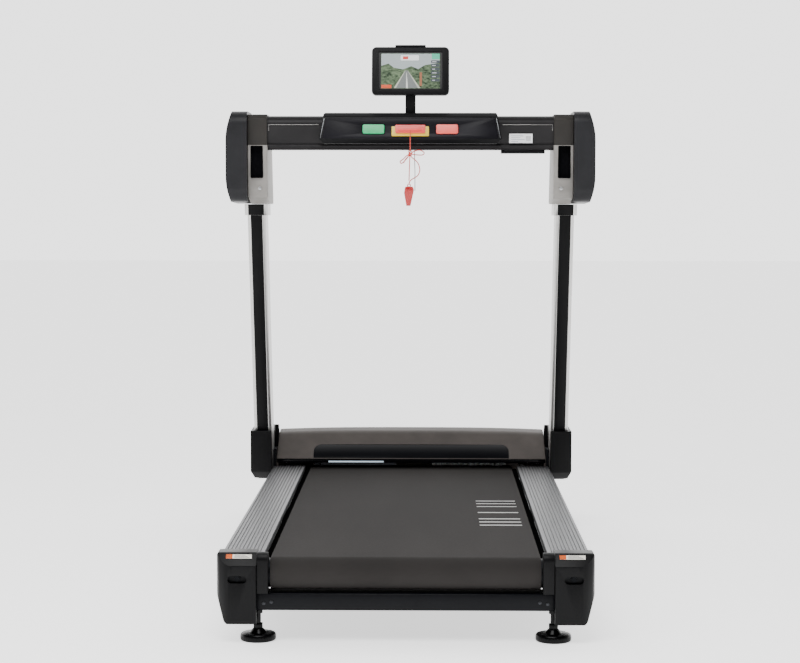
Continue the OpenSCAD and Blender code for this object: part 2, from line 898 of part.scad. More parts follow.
module boot() {
  difference() {
    intersection() {
      along_x(tube_out, boot_out) boot_outline(0);
      along_y(boot_rear - 1, boot_rear + boot_len + 1) boot_front(0);
    }
    intersection() {
      along_x(tube_out - 1, boot_out) boot_outline(boot_wall);
      along_y(boot_rear - 1, boot_rear + boot_len + 1) boot_front(boot_wall);
    }
    // room for the foot rail's end, the weld plate and the upright
    span_box([tube_out - 1, boot_rear - 1, boot_z - 1],
      [rail_out + 1, hood_rear, boot_top + 1]);
    span_box([tube_out - 1, upright_y0 - 29, boot_z - 1],
      [upright_x - upright_w / 2, upright_y0 + 61, upright_z0 + plate_lift + 2]);
    at_upright() translate([0, 0, -60])
      linear_extrude(upright_len) rounded_rect(upright_w + 0.8, upright_d + 0.8, 8.4);
  }
}

module boots() {
  color("#2a2b2d") both_sides() boot();
}

module upright_collars() {
  reach = 7;
  color("#2c2d2f")
    both_sides()
      difference() {
        intersection() {
          at_upright() translate([0, 0, upright_len - 90])
            linear_extrude(120) rounded_rect(upright_w + 2 * reach, upright_d + 2 * reach, 10);
          span_box([0, -front_y, pod_z - collar_h], [2 * boot_out, front_y, pod_z - fit]);
        }
        at_upright() linear_extrude(upright_len + 0.2)
          rounded_rect(upright_w + 0.2, upright_d + 0.2, 8.1);
      }
}

// ---- head ----

// where the upright's axis is, along Y, at a height
function axis_y(z) = upright_y0 - (z - upright_z0) * tan(lean);

// Y-Z outline of a head bracket
module head_outline() {
  polygon([
    [axis_y(head_bottom) - 60, head_bottom + fit],
    [bar_y + 12, head_bottom + 14],
    [bar_y - 5, head_top - 12],
    [bar_y + 7, head_top],
    [axis_y(head_top) + 50, head_top],
    [axis_y(head_bottom) + 52, head_bottom + fit]
  ]);
}

module head_bracket(s) {
  px = head_in + 28;
  color("#7f7d7a")
    on_side(s)
      difference() {
        along_x(head_in, head_out) head_outline();
        span_box([px - pocket_w / 2, bar_y - 10, pocket_z],
          [px + pocket_w / 2, bar_y - 5 + pocket_d + 6, pocket_z + pocket_h]);
        rod_y(2.6, bar_y - 5, bar_y + 36, px - 8, pocket_z - 27);
      }
}

// the side pod's rounded block: hull of discs, shrunk by a wall
module pod_block(w) {
  y0 = bar_y - 15;
  y1 = axis_y(head_bottom) + 66;
  y2 = axis_y(head_top) + 66;
  c = 16;
  hull()
    for (p = [[y0 + pod_r, pod_z + pod_r + 10], [y1 - pod_r, pod_z + pod_r],
        [y0 + pod_r - 4, pod_top - pod_r], [y2 - pod_r, pod_top - pod_r]]) {
      rod_x(pod_r - w, head_out + fit + w, head_out + pod_t - c - w, p[0], p[1]);
      rod_x(pod_r - c - w, head_out + pod_t - c, head_out + pod_t - w, p[0], p[1]);
    }
}

module side_pod(s) {
  color("#17181a")
    on_side(s)
      difference() {
        pod_block(0);
        pod_block(pod_wall);
        span_box([head_out - 1, bar_y + 50, pod_z + 60],
          [head_out + pod_wall + 2, bar_y + 110, pod_top - 60]);
      }
}

module bracket_screws() {
  px = head_in + 28;
  color("#c9c9c9")
    both_sides() {
      rod_y(2.5, bar_y - 2, bar_y + 32, px - 8, pocket_z - 27);
      rod_y(4.5, bar_y - 4, bar_y - 1.5, px - 8, pocket_z - 27);
    }
}

// Y-Z outline of the crossbar
module bar_outline(w) {
  r = bar_r - w;
  translate([bar_y + bar_r, bar_top - bar_r]) circle(r);
  translate([bar_y + bar_d - bar_r, bar_top - bar_r]) circle(r);
  polygon([
    [bar_y + w, bar_top - bar_r], [bar_y + w, bar_bottom + 16], [bar_y + 14, bar_bottom + w],
    [bar_y + bar_d - 14, bar_bottom + w], [bar_y + bar_d - w, bar_bottom + 16],
    [bar_y + bar_d - w, bar_top - bar_r]
  ]);
  translate([bar_y + bar_r, bar_top - 2 * bar_r]) square([bar_d - 2 * bar_r, 2 * bar_r - w]);
}

module crossbar() {
  color("#353638")
    difference() {
      along_x(-head_in, head_in) bar_outline(0);
      along_x(-head_in - 1, head_in + 1) bar_outline(4);
    }
}

// ---- console ----

module console_housing() {
  side = console_w / 2;
  color("#121214")
    difference() {
      along_x(-side, side)
        polygon([
          [face_y + 4, face_z - 11], [face_y, face_z],
          [face_y + face_h * sin(face_tilt), face_z + face_h * cos(face_tilt)],
          [face_y + 27, bar_top + 7], [bar_y - 0.1, bar_top + 7], [bar_y - 0.1, face_z - 11]
        ]);
      at_face() translate([0, 0, face_h / 2]) along_y(-1, panel_t + 0.1)
        rounded_rect(console_w - 14, face_h - 4, 4);
      for (x = [-button_x, button_x])
        face_block(x, row_z, button_w + 2 * flange + 1, button_h + 2 * flange + 1, 5, -1,
          panel_t + fit + flange_t + button_travel + switch_room);
      face_block(0, key_z, peg_w + 1, peg_h + 1, 2, -1, 14);
    }
}

module console_panel() {
  color("#08080a")
    difference() {
      at_face() translate([0, 0, face_h / 2]) along_y(0, panel_t)
        rounded_rect(console_w - 14.4, face_h - 4.4, 3.8);
      for (x = [-button_x, button_x])
        face_block(x, row_z, button_w + 2 * fit, button_h + 2 * fit, 5, -1, panel_t + 1);
      face_block(0, key_z, peg_w + 1, peg_h + 1, 2, -1, panel_t + 1);
    }
}

// a cap with a hidden flange that holds it behind the panel
module push_button(x) {
  face_block(x, row_z, button_w, button_h, 4.7, -4, panel_t + fit + 2);
  face_block(x, row_z, button_w + 2 * flange, button_h + 2 * flange, 5, panel_t + fit,
    panel_t + fit + flange_t);
}

module start_button() {
  color("#39a878") push_button(-button_x);
}

module stop_button() {
  color("#e0463e") push_button(button_x);
}

module key_frame() {
  color("#e8c62c")
    difference() {
      face_block(0, row_z - 6, frame_w, frame_h, 2, -3, 0);
      face_block(0, key_z, peg_w + 1, peg_h + 1, 2, -4, 1);
    }
}

module safety_key() {
  color("#c3262c") {
    face_block(0, key_z, key_w, key_h, 3, -9, -3 - fit);
    face_block(0, key_z, key_w - 14, key_h - 10, 3, -13, -8.9);
    face_block(0, key_z, peg_w, peg_h, 1.6, -3.4, 12);
  }
}

module key_cord() {
  color("#d33a30") translate([0, face_y, face_z]) cord(cord_route, cord_r);
}

module key_tether() {
  color("black") translate([0, bar_y, bar_bottom]) cord(tether_route, tether_r);
}

// X-Z outline of the peg clip, from its wide grip down to its narrow jaws
module clip_outline() {
  w = clip_w / 2;
  polygon([[3 - w, 18], [w - 3, 18], [w, 10], [w - 2, 0], [4, -clip_jaw], [-7, -clip_jaw],
    [-w, 2]]);
}

// one half of the clip: s is -1 for the front half and 1 for the back half
module clip_half(s) {
  intersection() {
    along_y(-10, 10) clip_outline();
    along_x(-clip_w, clip_w)
      polygon([[s * 0.4, -clip_jaw - 1], [s * 0.9, -4], [s * 4.5, 19], [s * 7, 19], [s * 4, -4],
        [s * 2.6, -clip_jaw - 1]]);
  }
}

module at_clip() {
  translate([clip_x, clip_y, clip_z]) children();
}

// the front half, with the ring and the pivot pin
module key_clip() {
  knuckle = 4;
  color("#cf3530")
    at_clip() {
      difference() {
        union() {
          difference() {
            clip_half(-1);
            rod_x(3.6, -clip_w, clip_w);
          }
          rod_x(3.2, -knuckle, knuckle);
          span_box([-knuckle, -4, -3.2], [knuckle, -1, 3.2]);
          along_y(-7, -4.2) translate([0, 21]) circle(5);
        }
        along_y(-8, -3) translate([0, 21.5]) circle(2.4);
      }
      rod_x(1.5, -clip_w / 2 + 3, clip_w / 2 - 3);
    }
}

// the back half, which turns on the pin
module clip_lever() {
  knuckle = 4.4;
  color("#cf3530")
    at_clip()
      difference() {
        union() {
          clip_half(1);
          both_sides() rod_x(3.2, knuckle, clip_w / 2 - 3);
        }
        rod_x(1.5 + run, -clip_w, clip_w);
        rod_x(3.6, -knuckle, knuckle);
      }
}

module receiver_box() {
  color("#1a1a1c")
    translate([head_in - 80, bar_y + bar_d / 2, bar_bottom - 9.2]) linear_extrude(9)
      rounded_rect(116, 40, 4);
}

// ---- tablet holder ----

module holder_post() {
  color("#232426")
    difference() {
      union() {
        span_box([-post_w / 2, hinge_y - post_t / 2, bar_top], [post_w / 2, hinge_y + post_t / 2, hinge_z]);
        rod_x(hinge_r, -post_w / 2, post_w / 2, hinge_y, hinge_z);
        translate([0, bar_y + bar_d / 2, bar_top]) linear_extrude(4)
          rounded_rect(post_w + 24, bar_d - 2 * bar_r, 4);
      }
      rod_x(pin_r - 1 + run, -post_w, post_w, hinge_y, hinge_z);
    }
}

module tablet_cradle() {
  lug_t = 6;
  color("#2b2c2e") {
    at_holder() {
      difference() {
        translate([0, 0, cradle_h / 2]) along_y(0, cradle_t) rounded_rect(cradle_w, cradle_h, 12);
        translate([0, 0, cradle_h / 2]) along_y(-1, 2.8) rounded_rect(window_w, window_h, 3);
        translate([0, 0, cradle_h / 2]) along_y(2.7, 3.1 + tablet_t)
          rounded_rect(window_w + 20.4, window_h + 12.4, 8.2);
      }
    }
    difference() {
      union()
        for (s = [-1, 1])
          at_holder() {
            span_box([s * (post_w / 2 + lug_t / 2 + fit) - lug_t / 2, cradle_t - tiny, hinge_lz - hinge_r],
              [s * (post_w / 2 + lug_t / 2 + fit) + lug_t / 2, hinge_ly, hinge_lz + hinge_r]);
            rod_x(hinge_r, s * (post_w / 2 + lug_t / 2 + fit) - lug_t / 2,
              s * (post_w / 2 + lug_t / 2 + fit) + lug_t / 2, hinge_ly, hinge_lz);
          }
    }
    rod_x(pin_r - 1, -post_w / 2 - fit - tiny, post_w / 2 + fit + tiny, hinge_y, hinge_z);
  }
}

// sprung hook over the cradle's top edge
module holder_clamp() {
  hook_w = 80;
  stem_w = 30;
  top = cradle_h + fit + 4.6;
  color("#2b2c2e")
    at_holder() {
      translate([0, 0, cradle_h + fit + 2.3]) along_y(-1, cradle_t + fit + 3)
        rounded_rect(hook_w, 4.6, 2);
      span_box([-stem_w / 2, cradle_t + fit, hinge_lz + 27], [stem_w / 2, cradle_t + fit + 3, top]);
    }
}

// outline of the tablet's lit screen
module screen_outline(grow) {
  rounded_rect(screen_w + grow, screen_h + grow, 1.5);
}

module tablet_screen() {
  color("#3d4a44")
    at_holder() translate([0, 0, cradle_h / 2]) along_y(3, 3 + screen_t) screen_outline(0);
}

module tablet() {
  color("#0b0b0d")
    at_holder() translate([0, 0, cradle_h / 2])
      difference() {
        along_y(3, 3 + tablet_t) rounded_rect(window_w + 20, window_h + 12, 8);
        along_y(2, 3 + screen_t) screen_outline(0);
      }
}

side_tubes();
cross_members();
rear_beam();
deck_board();
deck_cushions();
foot_rail(-1);  // foot_rail_left
foot_rail(1);  // foot_rail_right
rear_cap(-1);  // rear_cap_left
rear_cap(1);  // rear_cap_right
roller_guards();
running_belt();
roller_axles();
tension_bolts();
front_roller();
front_bearings();
drive_pulley();
rear_roller();
rear_bearings();
motor();
motor_rotor();
drive_belt();
motor_controller();
belly_pan();
motor_hood();
hood_inset();
power_inlet();
power_switch();
wheel_brackets();
wheel_axles();
transport_wheel(-1);  // transport_wheel_left
transport_wheel(1);  // transport_wheel_right
levelling_foot(-1);  // levelling_foot_left
levelling_foot(1);  // levelling_foot_right
upright(-1);  // upright_left
upright(1);  // upright_right
upright_trims();
boots();
upright_collars();
head_bracket(-1);  // head_bracket_left
head_bracket(1);  // head_bracket_right
side_pod(-1);  // side_pod_left
side_pod(1);  // side_pod_right
bracket_screws();
crossbar();
console_housing();
console_panel();
start_button();
stop_button();
key_frame();
safety_key();
key_cord();
key_clip();
clip_lever();
key_tether();
receiver_box();
holder_post();
tablet_cradle();
holder_clamp();
tablet();
tablet_screen();
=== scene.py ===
"""A flat-deck running machine: its casings, rails, belt, console, lanyard and tablet holder."""

import json
import math

import bpy
from bpy.props import FloatProperty, PointerProperty, StringProperty
from mathutils import Matrix, Vector


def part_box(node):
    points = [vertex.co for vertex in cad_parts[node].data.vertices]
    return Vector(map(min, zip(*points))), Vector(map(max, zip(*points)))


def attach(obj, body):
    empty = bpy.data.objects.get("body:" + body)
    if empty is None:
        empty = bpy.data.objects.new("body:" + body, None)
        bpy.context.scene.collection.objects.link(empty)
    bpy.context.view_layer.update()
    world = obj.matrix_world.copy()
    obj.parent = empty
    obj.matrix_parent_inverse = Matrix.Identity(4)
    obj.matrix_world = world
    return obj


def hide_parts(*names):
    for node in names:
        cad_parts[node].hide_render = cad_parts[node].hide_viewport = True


bl_info = {
    "name": "Running machine",
    "version": (1, 0, 0),
    "blender": (4, 5, 0),
    "location": "View3D > Sidebar > Running machine",
    "description": "Builds the looks of a flat-deck running machine around its frame",
    "category": "Object",
}

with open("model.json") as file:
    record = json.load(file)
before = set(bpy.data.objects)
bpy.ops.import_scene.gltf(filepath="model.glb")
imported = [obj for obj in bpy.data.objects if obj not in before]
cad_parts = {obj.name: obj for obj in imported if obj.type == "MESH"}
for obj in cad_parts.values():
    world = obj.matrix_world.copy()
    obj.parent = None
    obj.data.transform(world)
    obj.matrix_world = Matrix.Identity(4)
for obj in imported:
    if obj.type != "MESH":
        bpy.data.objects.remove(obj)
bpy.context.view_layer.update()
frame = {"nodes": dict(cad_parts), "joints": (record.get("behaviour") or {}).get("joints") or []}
JOINTS = {j["name"]: j for j in frame["joints"]}
MM = 0.001
LEFT, RIGHT = -1, 1
SIDE_NAME = {LEFT: "left", RIGHT: "right"}
MID = 64.5 * MM  # height of the cradle's middle in the holder's own frame
BUTTON_X = 96 * MM  # distance of each button from the console's middle
ROW_Z = 27 * MM  # height of the buttons' row up the console's face
KEY_Z = 26 * MM  # height of the safety key up the console's face
CLEAR = 10 * MM  # how far a cutting tool reaches past what it cuts

# the routes of the two cords, in metres
LANYARD_ROUTE = [
    (0, 0.118, 1.114), (0, 0.113, 1.108), (0, 0.109, 1.098), (0, 0.108, 1.085), (0, 0.108, 1.068),
    (0, 0.108, 1.052), (0.005, 0.108, 1.043), (0.014, 0.108, 1.036), (0.022, 0.108, 1.025),
    (0.025, 0.108, 1.010), (0.020, 0.108, 0.997), (0.010, 0.108, 0.990), (0.001, 0.108, 0.984),
    (-0.003, 0.108, 0.976),
]
TETHER_ROUTE = [
    (0.011, 0.182, 1.065), (0.011, 0.182, 1.040), (0.012, 0.181, 1.010), (0.012, 0.180, 0.980),
    (0.012, 0.180, 0.958),
]


# ---- sizes and colours that a user would change ----


def length(name, description, default):
    return FloatProperty(name=name, description=description, default=default,
                         unit="LENGTH", subtype="DISTANCE")


def angle(name, description, degrees):
    return FloatProperty(name=name, description=description, default=math.radians(degrees),
                         unit="ROTATION", subtype="ANGLE")


def colour(name, description, default):
    return StringProperty(name=name, description=description + ", as an sRGB hex value", default=default)


class MachineSizes(bpy.types.PropertyGroup):
    """Sizes that shape the visible pieces."""

    casing_radius: length("Casing radius", "Rounding of the moulded casings' edges", 0.006)
    pod_radius: length("Pod radius", "Rounding of the side pods' outer edges", 0.016)
    hood_crown: length("Hood crown", "How far the hood's top falls away toward its sides", 0.006)
    tube_radius: length("Tube radius", "Rounding of the steel tubes' edges", 0.0025)
    rail_groove: length("Rail groove", "Width of a groove in the foot rails", 0.0032)
    rail_groove_depth: length("Groove depth", "Depth of a groove in the foot rails", 0.0026)
    lanyard: length("Lanyard", "Diameter of the red lanyard", 0.0025)
    tether: length("Tether", "Diameter of the thin black cord", 0.002)
    upright_lean: angle("Upright lean", "Lean of the uprights toward the user", 17)
    lens: FloatProperty(name="Lens", description="Focal length of the camera in millimetres", default=89.1)


class MachineColours(bpy.types.PropertyGroup):
    """Colours of the finishes."""

    casing: colour("Casing", "Dark moulded casings", "#0f0f10")
    pod: colour("Pod", "Side pods", "#29292b")
    hood: colour("Hood", "Motor hood", "#544f4c")
    gloss: colour("Gloss", "Glossy console parts", "#131217")
    belt: colour("Belt", "Running belt", "#312f2e")
    rail: colour("Rail", "Anodised foot rails", "#606062")
    # the uprights' pale silver is painted reflection: it stands for the bright backdrop seen on their sides
    # at a grazing angle
    upright: colour("Upright", "Anodised uprights", "#c4c3c1")
    head: colour("Head", "Cast head brackets", "#8d8a86")
    beam: colour("Beam", "Painted rear beam", "#08090d")
    green: colour("Green", "Start button", "#06b06c")
    red: colour("Red", "Stop button and safety key", "#ff5b4e")
    yellow: colour("Yellow", "Safety key's frame", "#e6c52f")
    cord: colour("Cord", "Lanyard", "#d8402f")


def sizes():
    return bpy.context.scene.machine_sizes


def colours():
    return bpy.context.scene.machine_colours


# ---- materials ----


def linear(hex_colour):
    """An sRGB hex value as linear red, green, blue and alpha."""
    parts = [int(hex_colour[i:i + 2], 16) / 255 for i in (1, 3, 5)]
    return (*[p / 12.92 if p <= 0.04045 else ((p + 0.055) / 1.055) ** 2.4 for p in parts], 1.0)


def shade(hex_colour, factor):
    """A lighter or darker version of an sRGB hex value, as linear colour."""
    r, g, b, a = linear(hex_colour)
    return (min(r * factor, 1), min(g * factor, 1), min(b * factor, 1), a)


def start_material(name):
    """A new material with an empty Principled shader, or the one that exists already."""
    made = name not in bpy.data.materials
    material = bpy.data.materials[name] if not made else bpy.data.materials.new(name)
    if made:
        material.use_nodes = True
    return material, material.node_tree.nodes.get("Principled BSDF"), made


def add(material, kind, settings=None, links=None):
    """Adds a node, sets its inputs or attributes, and links its inputs from (node, output) pairs."""
    node = material.node_tree.nodes.new(kind)
    for key, value in (settings or {}).items():
        if key in node.inputs:
            node.inputs[key].default_value = value
        else:
            setattr(node, key, value)
    for key, (source, output) in (links or {}).items():
        material.node_tree.links.new(source.outputs[output], node.inputs[key])
    return node


def join(material, source, output, target, socket):
    material.node_tree.links.new(source.outputs[output], target.inputs[socket])


def noise(material, grain_mm, stretch=(1, 1, 1), detail=3.0):
    """Noise whose grains are grain_mm across, stretched along an axis where its factor is under 1."""
    place = add(material, "ShaderNodeTexCoord")
    turn = add(material, "ShaderNodeMapping", {"Scale": stretch}, {"Vector": (place, "Object")})
    return add(material, "ShaderNodeTexNoise", {"Scale": 1 / (grain_mm * MM), "Detail": detail},
               {"Vector": (turn, "Vector")})


def blend_colours(material, source, dark, light, low=0.3, high=0.7):
    ramp = add(material, "ShaderNodeValToRGB", links={"Fac": (source, "Fac")})
    ramp.color_ramp.elements[0].position, ramp.color_ramp.elements[0].color = low, dark
    ramp.color_ramp.elements[1].position, ramp.color_ramp.elements[1].color = high, light
    return ramp


def paint(material, shader, source, hex_colour, dark, light, low=0.3, high=0.7):
    """Colours a shader between a darker and a lighter version of a hex value."""
    tint = blend_colours(material, source, shade(hex_colour, dark), shade(hex_colour, light), low, high)
    join(material, tint, "Color", shader, "Base Color")


def vary_roughness(material, shader, source, low, high):
    spread = add(material, "ShaderNodeMapRange", {"To Min": low, "To Max": high},
                 {"Value": (source, "Fac")})
    join(material, spread, "Result", shader, "Roughness")


def relief(material, shader, source, output, strength, depth_mm):
    """Raises a pattern from the surface by up to depth_mm."""
    bump = add(material, "ShaderNodeBump", {"Strength": strength, "Distance": depth_mm * MM},
               {"Height": (source, output)})
    join(material, bump, "Normal", shader, "Normal")


def shine(shader, level, ior=1.5):
    shader.inputs["IOR"].default_value = ior
    shader.inputs["Specular IOR Level"].default_value = level


def moulded(name, hex_colour, roughness=0.42, grain_mm=1.4, depth=0.25, coat=0.0):
    """Injection-moulded ABS: an even dark colour with a fine spark-eroded grain that breaks up its sheen."""
    material, shader, made = start_material(name)
    if not made:
        return material
    cloud = noise(material, 60)
    paint(material, shader, cloud, hex_colour, 0.88, 1.1)
    grain = noise(material, grain_mm, detail=1.0)
    vary_roughness(material, shader, grain, roughness - 0.07, roughness + 0.07)
    relief(material, shader, grain, "Fac", depth, 0.08)
    shine(shader, 0.1, 1.52)
    shader.inputs["Coat Weight"].default_value = coat
    shader.inputs["Coat Roughness"].default_value = 0.06
    return material


def piano_black(name, hex_colour, roughness=0.17):
    """Polished ABS: near-black with a clear gloss and the faintest haze of wiping marks."""
    material, shader, made = start_material(name)
    if not made:
        return material
    wipe = noise(material, 30, (0.2, 1, 1))
    paint(material, shader, wipe, hex_colour, 0.8, 1.3)
    vary_roughness(material, shader, wipe, roughness - 0.05, roughness + 0.05)
    shine(shader, 0.14)
    return material


def anodised(name, hex_colour, stretch, roughness=0.38):
    """Extruded, anodised aluminium: pale metal with fine draw lines along the extrusion."""
    material, shader, made = start_material(name)
    if not made:
        return material
    lines = noise(material, 1.6, stretch, detail=2.0)
    paint(material, shader, lines, hex_colour, 0.86, 1.08)
    vary_roughness(material, shader, lines, roughness - 0.08, roughness + 0.08)
    relief(material, shader, lines, "Fac", 0.2, 0.05)
    shader.inputs["Metallic"].default_value = 0.85
    return material


def powder_coat(name, hex_colour, roughness=0.4):
    """Powder-coated steel: an even colour with a soft orange peel a few millimetres across."""
    material, shader, made = start_material(name)
    if not made:
        return material
    peel = noise(material, 2.5, detail=1.0)
    paint(material, shader, noise(material, 45), hex_colour, 0.9, 1.12)
    vary_roughness(material, shader, peel, roughness - 0.05, roughness + 0.08)
    relief(material, shader, peel, "Fac", 0.3, 0.1)
    shine(shader, 0.12)
    return material


def machined_steel(name, hex_colour, roughness=0.28):
    """Turned or zinc-plated steel: bright metal with faint tool marks."""
    material, shader, made = start_material(name)
    if not made:
        return material
    marks = noise(material, 1.2, (0.15, 1, 1))
    paint(material, shader, marks, hex_colour, 0.8, 1.05)
    vary_roughness(material, shader, marks, roughness - 0.06, roughness + 0.1)
    shader.inputs["Metallic"].default_value = 1.0
    return material


def belt_cover(name, hex_colour):
    """PVC-covered polyester belt: matt black with fine dimples about 3 mm apart and faint wear."""
    material, shader, made = start_material(name)
    if not made:
        return material
    place = add(material, "ShaderNodeTexCoord")
    dimple = add(material, "ShaderNodeTexVoronoi", {"Scale": 330.0}, {"Vector": (place, "Object")})
    wear = noise(material, 220, (1, 0.25, 1))
    paint(material, shader, wear, hex_colour, 0.86, 1.14, 0.25, 0.75)
    dust = noise(material, 5)
    vary_roughness(material, shader, dust, 0.66, 0.8)
    relief(material, shader, dimple, "Distance", 0.35, 0.2)
    shine(shader, 0.03)
    return material


def rubber(name, hex_colour, roughness=0.7):
    """Black rubber: matt, with a dusty bloom in patches."""
    material, shader, made = start_material(name)
    if not made:
        return material
    bloom = noise(material, 14)
    paint(material, shader, bloom, hex_colour, 0.85, 1.25)
    vary_roughness(material, shader, bloom, roughness - 0.08, roughness + 0.08)
    return material


def soft_touch(name, hex_colour, roughness=0.38):
    """Coloured polycarbonate: a bright, even, slightly translucent colour with a satin skin."""
    material, shader, made = start_material(name)
    if not made:
        return material
    cloud = noise(material, 12)
    paint(material, shader, cloud, hex_colour, 0.93, 1.05)
    grain = noise(material, 0.8, detail=1.0)
    vary_roughness(material, shader, grain, roughness - 0.06, roughness + 0.06)
    shader.inputs["IOR"].default_value = 1.58
    shader.inputs["Coat Weight"].default_value = 0.15
    return material


def braided(name, hex_colour, strand_mm=1.1):
    """Braided polyester cord: strands that cross about every millimetre, each with a small shadow line."""
    material, shader, made = start_material(name)
    if not made:
        return material
    place = add(material, "ShaderNodeTexCoord")
    turn = add(material, "ShaderNodeMapping", {"Rotation": (0.6, 0.6, 0.4)}, {"Vector": (place, "Object")})
    strands = add(material, "ShaderNodeTexWave", {"Scale": 0.32 / (strand_mm * MM), "Distortion": 1.5},
                  {"Vector": (turn, "Vector")})
    paint(material, shader, strands, hex_colour, 0.6, 1.12, 0.1, 0.6)
    relief(material, shader, strands, "Fac", 0.6, 0.2)
    shader.inputs["Roughness"].default_value = 0.72
    shader.inputs["Sheen Weight"].default_value = 0.3
    return material


def fibreboard(name, hex_colour):
    """Phenolic-faced fibreboard: near-black film with short fibres that show through it; the near-black is
    painted shade where it fills gaps and pockets.
    """
    material, shader, made = start_material(name)
    if not made:
        return material
    fibres = noise(material, 6, (1, 0.3, 1), detail=5.0)
    paint(material, shader, fibres, hex_colour, 0.75, 1.2)
    vary_roughness(material, shader, fibres, 0.7, 0.85)
    shader.inputs["Specular IOR Level"].default_value = 0.0
    return material


def printed(name, hex_colour, roughness=0.35, glow=0.0):
    """Ink on film: a flat colour, a little broken up by print dots, and lit from behind if it glows."""
    material, shader, made = start_material(name)
    if not made:
        return material
    dots = noise(material, 3, detail=1.0)
    paint(material, shader, dots, hex_colour, 0.92, 1.04)
    shader.inputs["Roughness"].default_value = roughness
    shader.inputs["Specular IOR Level"].default_value = 0.1
    if glow:
        shader.inputs["Emission Color"].default_value = linear(hex_colour)
        shader.inputs["Emission Strength"].default_value = glow
    return material


def road_picture(name):
    """A lit display with a plain picture of a country road: pale sky, hills with haze, verges and asphalt."""
    material, shader, made = start_material(name)
    if not made:
        return material
    leaves = noise(material, 9, (1, 1, 1.6), detail=5.0)
    green = blend_colours(material, leaves, linear("#1d2b1d"), linear("#66795c"), 0.32, 0.68)
    join(material, green, "Color", shader, "Base Color")
    join(material, green, "Color", shader, "Emission Color")
    shader.inputs["Emission Strength"].default_value = 0.22
    shader.inputs["Roughness"].default_value = 0.3
    shader.inputs["Specular IOR Level"].default_value = 0.1
    return material


# ---- modelling helpers ----


def deselect():
    if bpy.context.object and bpy.context.object.mode != "OBJECT":
        bpy.ops.object.mode_set(mode="OBJECT")
    bpy.ops.object.select_all(action="DESELECT")


def activate(*pieces):
    """Selects only these pieces, and makes the first one active."""
    deselect()
    for piece in pieces:
        piece.select_set(True)
    bpy.context.view_layer.objects.active = pieces[0]


def rename(piece, name):
    piece.name = piece.data.name = name
    return piece


def edit_mesh(*steps):
    """Runs edit-mode steps on the active piece, each one with the whole mesh selected."""
    bpy.ops.object.mode_set(mode="EDIT")
    for step in steps:
        bpy.ops.mesh.select_all(action="SELECT")
        step()
    bpy.ops.object.mode_set(mode="OBJECT")


def face_outward():
    bpy.ops.mesh.normals_make_consistent(inside=False)


def arc(cx, cy, r, start, end, steps=8):
    """Points along an arc, angles in degrees."""
    turns = [math.radians(start + (end - start) * i / steps) for i in range(steps + 1)]
    return [(cx + r * math.cos(t), cy + r * math.sin(t)) for t in turns]


def filleted(corners, steps=6):
    """A closed outline from (x, y, radius) corners, each one rounded by its radius."""
    out = []
    for i, (x, y, r) in enumerate(corners):
        here = Vector((x, y))
        before = (Vector(corners[i - 1][:2]) - here).normalized()
        after = (Vector(corners[(i + 1) % len(corners)][:2]) - here).normalized()
        half = before.angle(after) / 2
        if r <= 0 or half > math.radians(88):
            out.append((x, y))
            continue
        reach = r / math.tan(half)
        centre = here + (before + after).normalized() * r / math.sin(half)
        first, last = here + before * reach - centre, here + after * reach - centre
        turn = first.angle_signed(last)
        for k in range(steps + 1):
            p = centre + first @ Matrix.Rotation(turn * k / steps, 2)
            out.append((p.x, p.y))
    return out


def rounded_rect(w, h, r, cx=0.0, cy=0.0, steps=6):
    x0, x1, y0, y1 = cx - w / 2, cx + w / 2, cy - h / 2, cy + h / 2
    return filleted([(x0, y0, r), (x1, y0, r), (x1, y1, r), (x0, y1, r)], steps)


def on_axis(axis, along, a, b):
    """A point from its distance along an axis and the two other coordinates, in X, Y, Z order."""
    if axis == "X":
        return Vector((along, a, b))
    if axis == "Y":
        return Vector((a, along, b))
    return Vector((a, b, along))


def prism(name, outline, axis, low, high):
    """Extrudes an outline along an axis: a filled disc is drawn to the outline and then pulled out."""
    deselect()
    bpy.ops.mesh.primitive_circle_add(vertices=len(outline), radius=1, fill_type="NGON",
                                      location=(0, 0, 0))
    piece = rename(bpy.context.object, name)
    for vertex, (a, b) in zip(piece.data.vertices, outline):
        vertex.co = on_axis(axis, low, a, b)
    pull = {"value": on_axis(axis, high - low, 0, 0)}
    edit_mesh(lambda: bpy.ops.mesh.extrude_region_move(TRANSFORM_OT_translate=pull), face_outward)
    return piece


def plate(name, size_mm, centre, axis, low, high, steps=6):
    """A prism with a rounded rectangle for its outline, from its (width, height, radius)."""
    w, h, r = (n * MM for n in size_mm)
    return prism(name, rounded_rect(w, h, r, *centre, steps), axis, low, high)


def block(name, low, high):
    """A box between two corners, from a cube primitive."""
    deselect()
    bpy.ops.mesh.primitive_cube_add(size=1, location=(0, 0, 0))
    piece = rename(bpy.context.object, name)
    low, high = Vector(low), Vector(high)
    for vertex in piece.data.vertices:
        vertex.co = Vector([low[i] + (vertex.co[i] + 0.5) * (high[i] - low[i]) for i in range(3)])
    return piece


def rod(name, r, start, end, sides=40):
    """A round rod between two points, from a cylinder primitive."""
    deselect()
    start, end = Vector(start), Vector(end)
    bpy.ops.mesh.primitive_cylinder_add(vertices=sides, radius=r, depth=(end - start).length,
                                        location=(0, 0, 0))
    piece = rename(bpy.context.object, name)
    turn = Vector((0, 0, 1)).rotation_difference(end - start).to_matrix().to_4x4()
    piece.data.transform(Matrix.Translation((start + end) / 2) @ turn)
    return piece


def hexagon(r, tall, matrix):
    """A six-sided bar, centred on the place that a matrix gives."""
    deselect()
    bpy.ops.mesh.primitive_cylinder_add(vertices=6, radius=r, depth=tall, location=(0, 0, 0))
    bar = bpy.context.object
    bar.data.transform(matrix)
    return bar


